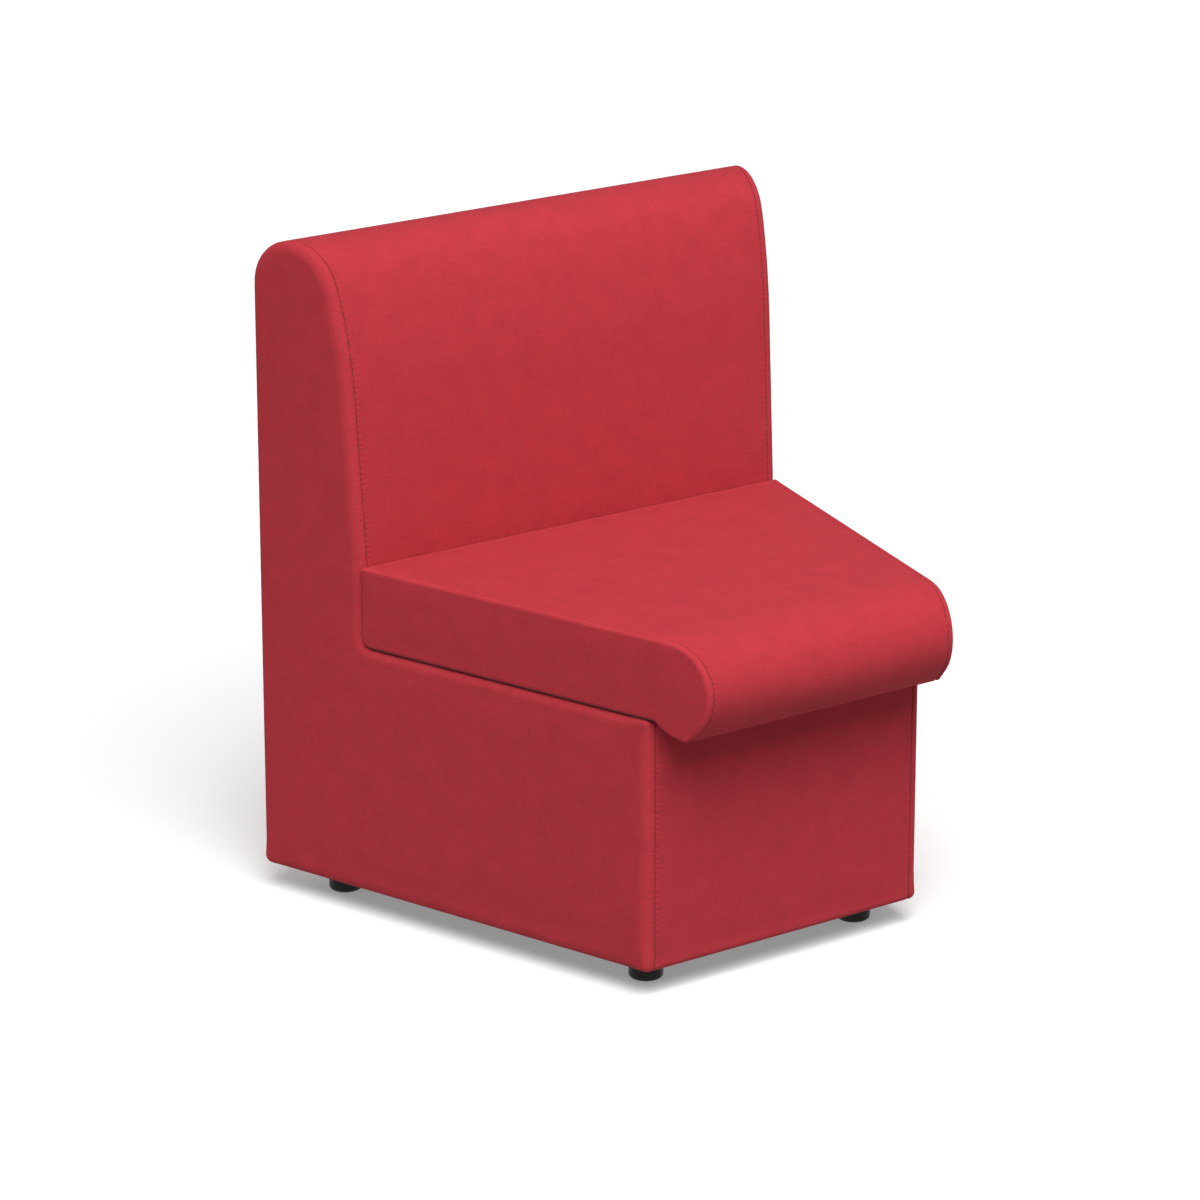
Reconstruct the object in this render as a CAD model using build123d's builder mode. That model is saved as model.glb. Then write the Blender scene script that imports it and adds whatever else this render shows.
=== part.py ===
"""Modular reception seat: a 30 degree wedge unit with a fixed back, upholstered all over.

Units are millimetres. The origin is on the floor under the middle of the seat's box. +Z is up, the sitter
faces -Y, and the wide end of the wedge is at the back. "Depth" is measured forward from the rear face, and
"inset" is measured square to a slanted side, from the outer face of its cover.
"""

import os
from math import acos, atan2, cos, degrees, hypot, radians, sin, tan

from build123d import *

os.makedirs("parts", exist_ok=True)

LEFT, RIGHT = -1, 1
HANDS = {"left": LEFT, "right": RIGHT}

# ---------------------------------------------------------------- overall sizes
rear_width = 727.0  # across the rear face
wedge_angle = 30.0  # between the two sides
base_depth = 585.0  # rear face to the front of the base
nose_reach = 86.3  # how far the cushion's nose stands out past the base
overall_height = 834.5
seat_height = 450.0
base_height = 349.0  # top of the base, where the cushion lies
ground_gap = 33.0  # floor to the underside of the base

# ---------------------------------------------------------------- back profile
back_depth = 162.0  # thickness of the back at seat height
back_rake = 4.3  # lean of the lower back face, degrees from vertical
shoulder_rake = 17.8  # lean where the face turns into the crown
face_radius = 563.7
crown_front_radius = 63.9
crown_flat_width = 2.4  # level stretch between the crown's two radii
notch_radius = 12.0
base_edge_radius = 8.0
rear_foot_radius = 11.0
front_foot_radius = 9.0

# ---------------------------------------------------------------- cushion profile
nose_radius = 58.8
nose_tip_setback = 34.3  # from the front of the nose back to its lower ridge
nose_tip_drop = 16.0  # ridge below the top of the base
nose_root_gap = 7.0  # from the front of the base to where the underside turns flat
nose_root_bulge = 4.0
cushion_heel_radius = 12.0

# ---------------------------------------------------------------- layers
cover = 2.0  # cloth with its backing
fit = 0.3  # gap left between a cover and what it wraps
skin_foam = 8.0
seam_return = 12.0  # how far a side cover wraps round the edges
side_ply = 15.0
front_ply = 15.0
rear_ply = 12.0
back_ply = 12.0
deck_ply = 18.0
rib_ply = 15.0
seat_ply = 12.0
dust_cloth = 1.0
back_foam_thickness = 77.0  # at seat height, in front of the back board
crown_foam = 59.5  # above the boards inside the back
top_rail_height = 30.0
foot_rail_height = 40.0
seat_board_inset = 20.0
seat_board_heel = 20.0  # cushion's rear face to the seat board
seat_board_toe = 10.0  # seat board to the front of the base

# ---------------------------------------------------------------- fasteners and feet
screw_radius = 2.0
screw_length = 45.0
screw_head_radius = 4.0
screw_head_height = 3.0
screw_head_sink = 1.5
screw_end_gap = 80.0  # from the ends of each board to its outer screws
drill_gap = 0.05  # radial, round every screw, bolt and nut barrel
bolt_radius = 4.0
bolt_head_radius = 6.5
bolt_head_height = 5.3
bolt_hole_gap = 0.5
bolt_end_gap = 2.0  # bolt's end below the top of its tee nut
washer_radius = 12.0
washer_height = 2.0
nut_barrel_radius = 5.0
nut_flange_radius = 11.0
nut_flange_height = 1.5
nut_barrel_length = 10.0
bolt_inset = 100.0
bolt_rear_gap = 78.0  # from the back's face
bolt_front_gap = 85.0  # from the front of the base
foot_inset = 62.0
foot_setback = 64.0  # from the rear and front faces of the base
block_size = 75.0
block_height = 40.0
pad_radius = 21.0
pad_height = 20.0
pad_edge_radius = 5.0
neck_radius = 12.0
neck_top = 26.0
spigot_radius = 5.0
spigot_bottom = 8.0
running_gap = 0.05  # radial, spigot in its pad and stem in its nut
collar_across_flats = 14.0
stem_radius = 4.0
stem_thread = 28.0  # threaded length above the collar
dust_hole_radius = 15.0

# ---------------------------------------------------------------- derived places
slant = radians(wedge_angle / 2)
overall_depth = base_depth + nose_reach
rear_y = overall_depth / 2
under_cover = cover + fit
board_bottom = ground_gap + under_cover
deck_top = base_height - under_cover
deck_bottom = deck_top - deck_ply
rear_board_at = under_cover + skin_foam
rear_board_front = rear_board_at + rear_ply
front_board_front = base_depth - under_cover - skin_foam
front_board_rear = front_board_front - front_ply
core_depth = back_depth - back_foam_thickness
core_top = overall_height - crown_foam
back_board_rear = core_depth - back_ply
side_board_outer = cover + skin_foam
side_board_inner = side_board_outer + side_ply
seat_rear = back_depth + fit
seat_bottom = base_height + fit
seat_board_bottom = seat_bottom + under_cover
seat_board_top = seat_board_bottom + seat_ply
seat_board_rear = seat_rear + seat_board_heel
seat_board_front = base_depth - seat_board_toe
nose_root = base_depth + nose_root_gap
bolt_depths = (back_depth + bolt_rear_gap, base_depth - bolt_front_gap)
collar_top = board_bottom - fit
reach = 2 * rear_width  # longer than anything it cuts

side_view = Plane(origin=(0, rear_y, 0), x_dir=(0, -1, 0), z_dir=(-1, 0, 0))  # (depth, height)


def half_width(depth, inset=0.0):
    """Distance from the centre plane to a side, at a depth and an inset."""
    return rear_width / 2 - depth * tan(slant) - inset / cos(slant)


def plan_point(hand, depth, inset):
    """Point of the plan view on one side."""
    return (hand * half_width(depth, inset), rear_y - depth)


def between_sides(inset, depth_from=-1.0, depth_to=overall_depth + 1.0):
    """Plan outline that spans the seat from side to side."""
    return [
        plan_point(LEFT, depth_from, inset),
        plan_point(LEFT, depth_to, inset),
        plan_point(RIGHT, depth_to, inset),
        plan_point(RIGHT, depth_from, inset),
    ]


def side_layer(hand, outer, inner, depth_from=-1.0, depth_to=overall_depth + 1.0):
    """Plan outline of a layer that lies along one side."""
    return [
        plan_point(hand, depth_from, outer),
        plan_point(hand, depth_to, outer),
        plan_point(hand, depth_to, inner),
        plan_point(hand, depth_from, inner),
    ]


def trim_to_plan(outline):
    """Keep what lies over a plan outline, in the part being built."""
    with BuildSketch(Plane.XY, mode=Mode.PRIVATE) as plan:
        Polygon(*outline, align=None)
    extrude(plan.sketch, amount=reach, mode=Mode.INTERSECT)


def panel(depth_from, depth_to, bottom, top):
    """Rectangle of the side view, as a sketch."""
    with BuildSketch(side_view, mode=Mode.PRIVATE) as rectangle:
        with Locations(((depth_from + depth_to) / 2, (bottom + top) / 2)):
            Rectangle(depth_to - depth_from, top - bottom)
    return rectangle.sketch


def finish(part, name):
    """Label a finished piece and write it."""
    part.label = name
    export_step(part, f"parts/{name}.step")


# ---------------------------------------------------------------- outlines in the side view
shoulder = radians(shoulder_rake)
rake = radians(back_rake)
face_bend_bottom = (
    overall_height
    - crown_front_radius * (1 - sin(shoulder))
    - face_radius * (sin(shoulder) - sin(rake))
)
crown_start = (
    back_depth
    - (face_bend_bottom - seat_height) * tan(rake)
    - face_radius * (cos(rake) - cos(shoulder))
    - crown_front_radius * cos(shoulder)
)
crown_rear_radius = crown_start - crown_flat_width

with BuildSketch(side_view) as body_outline:
    with BuildLine():
        rear_edge = Line((0, ground_gap), (0, overall_height - crown_rear_radius))
        rear_crown = JernArc(rear_edge @ 1, rear_edge % 1, crown_rear_radius, -90)
        crown_flat = Line(rear_crown @ 1, (crown_start, overall_height))
        front_crown = JernArc(crown_flat @ 1, crown_flat % 1, crown_front_radius, shoulder_rake - 90)
        face_bend = JernArc(front_crown @ 1, front_crown % 1, face_radius, back_rake - shoulder_rake)
        Polyline(
            face_bend @ 1,
            (back_depth, seat_height),
            (back_depth, base_height),
            (base_depth, base_height),
            (base_depth, ground_gap),
            (0, ground_gap),
        )
    make_face()
    for corner, radius in (
        ((back_depth, base_height), notch_radius),
        ((base_depth, base_height), base_edge_radius),
        ((0, ground_gap), rear_foot_radius),
        ((base_depth, ground_gap), front_foot_radius),
    ):
        fillet(body_outline.vertices().sort_by_distance(corner)[0], radius)

with BuildSketch(side_view) as body_cover_line:  # inner face of the covers
    add(body_outline.sketch_local)
    offset(amount=-cover, mode=Mode.REPLACE)

with BuildSketch(side_view) as body_core:  # everything that the covers wrap
    add(body_outline.sketch_local)
    offset(amount=-under_cover, mode=Mode.REPLACE)

with BuildSketch(side_view) as body_ring:  # section of the covers
    add(body_outline.sketch_local)
    add(body_cover_line.sketch_local, mode=Mode.SUBTRACT)

nose_centre = (overall_depth - nose_radius, seat_height - nose_radius)
nose_tip = (overall_depth - nose_tip_setback, base_height - nose_tip_drop)
tip_reach = hypot(nose_tip[0] - nose_centre[0], nose_tip[1] - nose_centre[1])
tip_bearing = atan2(nose_tip[1] - nose_centre[1], nose_tip[0] - nose_centre[0])
nose_sweep = 90 - degrees(tip_bearing + acos(nose_radius / tip_reach))  # top round to the tip's tangent

with BuildSketch(side_view) as seat_outline:
    with BuildLine():
        seat_face = Line((seat_rear, seat_height), (nose_centre[0], seat_height))
        nose = JernArc(seat_face @ 1, seat_face % 1, nose_radius, -nose_sweep)
        nose_under = Line(nose @ 1, nose_tip)
        SagittaArc(nose_tip, (nose_root, seat_bottom), -nose_root_bulge)
        Polyline((nose_root, seat_bottom), (seat_rear, seat_bottom), (seat_rear, seat_height))
    make_face()
    fillet(seat_outline.vertices().sort_by_distance((seat_rear, seat_bottom))[0], cushion_heel_radius)

with BuildSketch(side_view) as seat_cover_line:
    add(seat_outline.sketch_local)
    offset(amount=-cover, mode=Mode.REPLACE)

with BuildSketch(side_view) as seat_core:
    add(seat_outline.sketch_local)
    offset(amount=-under_cover, mode=Mode.REPLACE)

with BuildSketch(side_view) as seat_ring:
    add(seat_outline.sketch_local)
    add(seat_cover_line.sketch_local, mode=Mode.SUBTRACT)

# ---------------------------------------------------------------- sides: cover, foam and board
def spaced(start, end, count):
    """Even places for screws along a board, kept clear of its ends."""
    first = start + screw_end_gap
    step = (end - start - 2 * screw_end_gap) / (count - 1)
    return [first + step * index for index in range(count)]


rear_screw_depth = (rear_board_at + rear_board_front) / 2
front_screw_depth = (front_board_rear + front_board_front) / 2
deck_screw_height = (deck_bottom + deck_top) / 2
screw_places = [  # (depth, height) of the carcass screws on each side
    *[(rear_screw_depth, height) for height in spaced(board_bottom, core_top, 3)],
    *[(front_screw_depth, height) for height in spaced(board_bottom, deck_bottom, 2)],
    *[(depth, deck_screw_height) for depth in spaced(rear_board_front, front_board_front, 3)],
]


def screw_seats(hand):
    """Location of each screw head's outer face on one side, its local +Z pointing out of the head."""
    return [
        Plane(
            origin=(hand * (half_width(depth, side_board_outer) - screw_head_sink), rear_y - depth, height),
            z_dir=(hand, 0, 0),
        ).location
        for depth, height in screw_places
    ]


def drill_for_screws(hand):
    """Clear the screws' heads and shanks in the board being built."""
    with Locations(*screw_seats(hand)):
        Cylinder(
            screw_radius + drill_gap,
            screw_length + drill_gap,
            align=(Align.CENTER, Align.CENTER, Align.MAX),
            mode=Mode.SUBTRACT,
        )
        Cylinder(
            screw_head_radius + drill_gap,
            2 * (screw_head_height + drill_gap),
            mode=Mode.SUBTRACT,
        )


for side_name, hand in HANDS.items():
    with BuildPart() as cover_hollow:
        extrude(body_cover_line.sketch, amount=reach, both=True)
        trim_to_plan(side_layer(hand, cover, seam_return + 1))

    with BuildPart() as side_cover:
        extrude(body_outline.sketch, amount=reach, both=True)
        trim_to_plan(side_layer(hand, 0, seam_return))
        add(cover_hollow.part, mode=Mode.SUBTRACT)
    finish(side_cover.part, f"side_cover_{side_name}")

    with BuildPart() as side_foam:
        extrude(body_core.sketch, amount=reach, both=True)
        trim_to_plan(side_layer(hand, cover, side_board_outer))
    finish(side_foam.part, f"side_foam_{side_name}")

    with BuildPart() as side_board:
        extrude(body_core.sketch, amount=reach, both=True)
        trim_to_plan(side_layer(hand, side_board_outer, side_board_inner))
        drill_for_screws(hand)
    finish(side_board.part, f"side_board_{side_name}")

with BuildPart() as carcass_screws:
    with Locations(*screw_seats(LEFT), *screw_seats(RIGHT)):
        Cylinder(screw_head_radius, screw_head_height, align=(Align.CENTER, Align.CENTER, Align.MAX))
        Cylinder(screw_radius, screw_length, align=(Align.CENTER, Align.CENTER, Align.MAX))
finish(carcass_screws.part, "carcass_screws")

# ---------------------------------------------------------------- boards between the sides
with BuildPart() as rear_board:
    extrude(panel(rear_board_at, rear_board_front, board_bottom, core_top), amount=reach, both=True)
    trim_to_plan(between_sides(side_board_inner))
    drill_for_screws(LEFT)
    drill_for_screws(RIGHT)
finish(rear_board.part, "rear_board")

with BuildPart() as front_board:
    extrude(panel(front_board_rear, front_board_front, board_bottom, deck_bottom), amount=reach, both=True)
    trim_to_plan(between_sides(side_board_inner))
    drill_for_screws(LEFT)
    drill_for_screws(RIGHT)
finish(front_board.part, "front_board")


def bolt_places(height):
    """Where the four seat bolts cross a level."""
    return [
        (*plan_point(hand, depth, bolt_inset), height) for hand in (LEFT, RIGHT) for depth in bolt_depths
    ]


def bolt_hole(radius, height):
    """Bore right through the part being built, at each seat bolt."""
    with Locations(*bolt_places(height)):
        Cylinder(radius, reach, mode=Mode.SUBTRACT)


with BuildPart() as deck_board:
    extrude(panel(rear_board_front, front_board_front, deck_bottom, deck_top), amount=reach, both=True)
    trim_to_plan(between_sides(side_board_inner))
    drill_for_screws(LEFT)
    drill_for_screws(RIGHT)
    bolt_hole(bolt_radius + bolt_hole_gap, deck_top)
finish(deck_board.part, "deck_board")

with BuildPart() as centre_rib:
    extrude(panel(rear_board_front, front_board_rear, board_bottom, deck_bottom), amount=rib_ply / 2, both=True)
finish(centre_rib.part, "centre_rib")

with BuildPart() as back_board:
    extrude(panel(back_board_rear, core_depth, deck_top, core_top), amount=reach, both=True)
    trim_to_plan(between_sides(side_board_inner))
finish(back_board.part, "back_board")

with BuildPart() as top_rail:
    extrude(
        panel(rear_board_front, back_board_rear, core_top - top_rail_height, core_top), amount=reach, both=True
    )
    trim_to_plan(between_sides(side_board_inner))
finish(top_rail.part, "top_rail")

with BuildPart() as back_foot_rail:
    extrude(
        panel(rear_board_front, back_board_rear, deck_top, deck_top + foot_rail_height), amount=reach, both=True
    )
    trim_to_plan(between_sides(side_board_inner))
finish(back_foot_rail.part, "back_foot_rail")

with BuildPart() as back_rib:
    extrude(
        panel(rear_board_front, back_board_rear, deck_top + foot_rail_height, core_top - top_rail_height),
        amount=rib_ply / 2,
        both=True,
    )
finish(back_rib.part, "back_rib")

# ---------------------------------------------------------------- foam and covers between the sides
with BuildPart() as rear_foam:
    extrude(panel(under_cover, rear_board_at, board_bottom, core_top), amount=reach, both=True)
    extrude(body_core.sketch, amount=reach, both=True, mode=Mode.INTERSECT)
    trim_to_plan(between_sides(side_board_inner))
finish(rear_foam.part, "rear_foam")

with BuildPart() as front_foam:
    extrude(
        panel(front_board_front, front_board_front + skin_foam, board_bottom, deck_top), amount=reach, both=True
    )
    extrude(body_core.sketch, amount=reach, both=True, mode=Mode.INTERSECT)
    trim_to_plan(between_sides(side_board_inner))
finish(front_foam.part, "front_foam")

with BuildSketch(side_view) as back_foam_outline:
    add(body_core.sketch_local)
    with Locations((back_depth / 2 - under_cover, (deck_top + overall_height) / 2)):
        Rectangle(back_depth, overall_height - deck_top, mode=Mode.INTERSECT)
    with Locations((core_depth / 2, core_top / 2)):
        Rectangle(core_depth, core_top, mode=Mode.SUBTRACT)
with BuildPart() as back_foam:
    extrude(back_foam_outline.sketch, amount=reach, both=True)
    trim_to_plan(between_sides(side_board_inner))
finish(back_foam.part, "back_foam")

cover_inset = seam_return + fit
cloth_start = back_depth + notch_radius
front_return = base_depth - seam_return

with BuildPart() as back_cover:
    extrude(body_ring.sketch, amount=reach, both=True)
    trim_to_plan(between_sides(cover_inset, depth_to=cloth_start))
    extrude(
        panel(seam_return, cloth_start + 1, 0, base_height - cover - fit), amount=reach, both=True,
        mode=Mode.SUBTRACT,
    )
finish(back_cover.part, "back_cover")

with BuildPart() as front_cover:
    extrude(body_ring.sketch, amount=reach, both=True)
    trim_to_plan(between_sides(cover_inset, depth_from=front_return))
finish(front_cover.part, "front_cover")

with BuildPart() as deck_cloth:
    extrude(
        panel(cloth_start + fit, front_return - fit, base_height - cover, base_height), amount=reach, both=True
    )
    trim_to_plan(between_sides(cover_inset))
    bolt_hole(bolt_radius + bolt_hole_gap, base_height)
finish(deck_cloth.part, "deck_cloth")

# ---------------------------------------------------------------- seat cushion
with BuildPart() as seat_board:
    extrude(
        panel(seat_board_rear, seat_board_front, seat_board_bottom, seat_board_top), amount=reach, both=True
    )
    trim_to_plan(between_sides(seat_board_inset))
    with Locations(*bolt_places(seat_board_top)):
        CounterBoreHole(
            nut_barrel_radius + drill_gap, nut_flange_radius + drill_gap, nut_flange_height + drill_gap
        )
finish(seat_board.part, "seat_board")

with BuildPart() as seat_board_pocket:
    extrude(panel(seat_board_rear, seat_board_front, 0, seat_board_top), amount=reach, both=True)
    trim_to_plan(between_sides(seat_board_inset))

with BuildPart() as seat_foam:
    extrude(seat_core.sketch, amount=reach, both=True)
    trim_to_plan(between_sides(cover))
    add(seat_board_pocket.part, mode=Mode.SUBTRACT)
finish(seat_foam.part, "seat_foam")

cloth_heel = seat_rear + cushion_heel_radius
with BuildPart() as seat_bottom_cloth:
    extrude(panel(cloth_heel, nose_root, seat_bottom, seat_bottom + cover), amount=reach, both=True)
    trim_to_plan(between_sides(cover))
    bolt_hole(bolt_radius + bolt_hole_gap, seat_bottom)
finish(seat_bottom_cloth.part, "seat_bottom_cloth")

with BuildPart() as seat_top_cover:
    extrude(seat_ring.sketch, amount=reach, both=True)
    trim_to_plan(between_sides(cover))
    extrude(
        panel(cloth_heel, nose_root, seat_bottom - 1, seat_board_bottom), amount=reach, both=True,
        mode=Mode.SUBTRACT,
    )
finish(seat_top_cover.part, "seat_top_cover")

for side_name, hand in HANDS.items():
    with BuildPart() as seat_side_cover:
        extrude(seat_outline.sketch, amount=reach, both=True)
        trim_to_plan(side_layer(hand, 0, cover))
    finish(seat_side_cover.part, f"seat_side_cover_{side_name}")

washer_top = deck_bottom
bolt_seat = washer_top - washer_height
bolt_end = seat_board_top - bolt_end_gap
with BuildPart() as seat_washers:
    with Locations(*bolt_places(washer_top)):
        Cylinder(washer_radius, washer_height, align=(Align.CENTER, Align.CENTER, Align.MAX))
        Hole(bolt_radius + bolt_hole_gap, washer_height)
finish(seat_washers.part, "seat_washers")

with BuildPart() as seat_bolts:
    with Locations(*bolt_places(bolt_seat)):
        Cylinder(bolt_head_radius, bolt_head_height, align=(Align.CENTER, Align.CENTER, Align.MAX))
        Cylinder(bolt_radius, bolt_end - bolt_seat, align=(Align.CENTER, Align.CENTER, Align.MIN))
finish(seat_bolts.part, "seat_bolts")

with BuildPart() as seat_tee_nuts:
    with Locations(*bolt_places(seat_board_top)):
        Cylinder(nut_flange_radius, nut_flange_height, align=(Align.CENTER, Align.CENTER, Align.MAX))
        Cylinder(nut_barrel_radius, nut_barrel_length, align=(Align.CENTER, Align.CENTER, Align.MAX))
        Cylinder(bolt_radius + drill_gap, reach, mode=Mode.SUBTRACT)
finish(seat_tee_nuts.part, "seat_tee_nuts")

# ---------------------------------------------------------------- corner blocks and levelling feet
FEET = {
    "front_left": plan_point(LEFT, base_depth - foot_setback, foot_inset),
    "front_right": plan_point(RIGHT, base_depth - foot_setback, foot_inset),
    "rear_left": plan_point(LEFT, foot_setback, foot_inset),
    "rear_right": plan_point(RIGHT, foot_setback, foot_inset),
}
block_inner = side_board_inner + block_size
block_depths = (
    (rear_board_front, rear_board_front + block_size),
    (front_board_rear - block_size, front_board_rear),
)

with BuildPart() as foot_blocks:
    for hand in (LEFT, RIGHT):
        for depth_from, depth_to in block_depths:
            with BuildSketch(Plane.XY.offset(board_bottom)):
                Polygon(*side_layer(hand, side_board_inner, block_inner, depth_from, depth_to), align=None)
    extrude(amount=block_height)
    with Locations(*[Plane(origin=(x, y, board_bottom), z_dir=(0, 0, -1)).location for x, y in FEET.values()]):
        CounterBoreHole(
            nut_barrel_radius + drill_gap, nut_flange_radius + drill_gap, nut_flange_height + drill_gap
        )
finish(foot_blocks.part, "foot_blocks")

with BuildPart() as foot_tee_nuts:
    with Locations(*[(x, y, board_bottom) for x, y in FEET.values()]):
        Cylinder(nut_flange_radius, nut_flange_height, align=(Align.CENTER, Align.CENTER, Align.MIN))
        Cylinder(nut_barrel_radius, nut_barrel_length, align=(Align.CENTER, Align.CENTER, Align.MIN))
        Cylinder(stem_radius + running_gap, reach, mode=Mode.SUBTRACT)
finish(foot_tee_nuts.part, "foot_tee_nuts")

for foot_name, (foot_x, foot_y) in FEET.items():
    with BuildPart() as foot_pad:
        with Locations((foot_x, foot_y, 0)):
            Cylinder(pad_radius, pad_height, align=(Align.CENTER, Align.CENTER, Align.MIN))
        rims = foot_pad.edges().filter_by(GeomType.CIRCLE).sort_by(Axis.Z)
        fillet(rims[0], pad_edge_radius)
        chamfer(foot_pad.edges().filter_by(GeomType.CIRCLE).sort_by(Axis.Z)[-1], 2 * drill_gap)
        with Locations((foot_x, foot_y, 0)):
            Cylinder(neck_radius, neck_top, align=(Align.CENTER, Align.CENTER, Align.MIN))
        with Locations((foot_x, foot_y, neck_top)):
            Hole(spigot_radius + running_gap, neck_top - spigot_bottom + running_gap)
    finish(foot_pad.part, f"foot_pad_{foot_name}")

    with BuildPart() as foot_stem:
        with Locations((foot_x, foot_y, spigot_bottom)):
            Cylinder(spigot_radius, neck_top - spigot_bottom + fit, align=(Align.CENTER, Align.CENTER, Align.MIN))
        with BuildSketch(Plane.XY.offset(neck_top + fit)):
            with Locations((foot_x, foot_y)):
                RegularPolygon(collar_across_flats / 2, 6, major_radius=False)
        extrude(amount=collar_top - neck_top - fit)
        with Locations((foot_x, foot_y, collar_top)):
            Cylinder(stem_radius, stem_thread, align=(Align.CENTER, Align.CENTER, Align.MIN))
    finish(foot_stem.part, f"foot_stem_{foot_name}")

with BuildPart() as dust_cover:
    extrude(
        panel(seam_return + fit, front_return - fit, board_bottom - dust_cloth, board_bottom),
        amount=reach,
        both=True,
    )
    trim_to_plan(between_sides(cover_inset))
    with Locations(*[(x, y, board_bottom) for x, y in FEET.values()]):
        Cylinder(dust_hole_radius, reach, mode=Mode.SUBTRACT)
finish(dust_cover.part, "dust_cover")
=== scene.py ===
"""Upholstered reception seat, a wedge unit: its looks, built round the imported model.

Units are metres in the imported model's own frame: +Z up, the sitter faces -Y, the floor at Z = 0. "Depth" is
measured forward from the rear face, and "inset" square to a slanted side, from the face of its cover.
"""

import logging
import math
from dataclasses import dataclass
from enum import Enum

import bmesh
import bpy
import numpy as np
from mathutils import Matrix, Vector
from mathutils.geometry import delaunay_2d_cdt


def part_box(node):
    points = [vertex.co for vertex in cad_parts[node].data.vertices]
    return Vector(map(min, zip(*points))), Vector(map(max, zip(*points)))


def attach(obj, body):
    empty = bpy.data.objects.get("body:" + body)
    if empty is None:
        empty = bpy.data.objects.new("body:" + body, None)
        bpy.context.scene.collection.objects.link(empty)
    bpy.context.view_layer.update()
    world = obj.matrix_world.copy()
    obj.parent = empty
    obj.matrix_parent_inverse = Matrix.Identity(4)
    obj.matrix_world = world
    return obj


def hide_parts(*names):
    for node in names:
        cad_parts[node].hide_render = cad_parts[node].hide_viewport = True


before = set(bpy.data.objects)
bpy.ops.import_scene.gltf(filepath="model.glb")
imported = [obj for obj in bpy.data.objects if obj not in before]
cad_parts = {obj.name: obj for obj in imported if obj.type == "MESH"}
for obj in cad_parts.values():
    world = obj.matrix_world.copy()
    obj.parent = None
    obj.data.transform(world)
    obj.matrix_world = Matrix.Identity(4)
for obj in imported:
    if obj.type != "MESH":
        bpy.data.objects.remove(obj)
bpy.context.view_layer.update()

LOG = logging.getLogger("reception_seat")
SEAT_BODY = "seat"
CLOTH_UV = "cloth"
SEAM_GAP = "seam_gap"  # distance over the cloth to the nearest seam
SEAM_RUN = "seam_run"  # distance along that seam
EDGE_WEAR = "edge_wear"  # 1 on a rounded edge, 0 on a flat face
MILLIMETRE = 0.001
PAST_FRONT = 0.7  # a depth beyond the front of the seat
NEARLY_ZERO = 1e-12
WELD = 1e-7  # points nearer than this are one, when a face is filled
STITCH_DEPTH = 1.0 * MILLIMETRE  # how far the stitches lie below the cloth's outline
SEAM_ROWS = ((0.0, 1.0), (0.6 * MILLIMETRE, 0.45), (1.8 * MILLIMETRE, 0.0))  # from the seam, share of the tuck
FACE_ROWS = (4.0 * MILLIMETRE, 8.0 * MILLIMETRE, 14.0 * MILLIMETRE)  # from the seam, where the cloth lies flat


class Hand(Enum):
    """The two sides of the seat, as seen by someone who looks at its front."""

    LEFT = -1
    RIGHT = 1

    @property
    def word(self) -> str:
        """The side as it stands in the node names."""
        return self.name.lower()


class Veneer(Enum):
    """Which way the layers of a plywood board are stacked."""

    ACROSS = (0.0, 0.0, math.pi / 2)
    LEFT = (0.0, 0.0, math.radians(-105))
    RIGHT = (0.0, 0.0, math.radians(105))
    DEEP = (0.0, 0.0, 0.0)
    LEVEL = (math.pi / 2, 0.0, 0.0)


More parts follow.
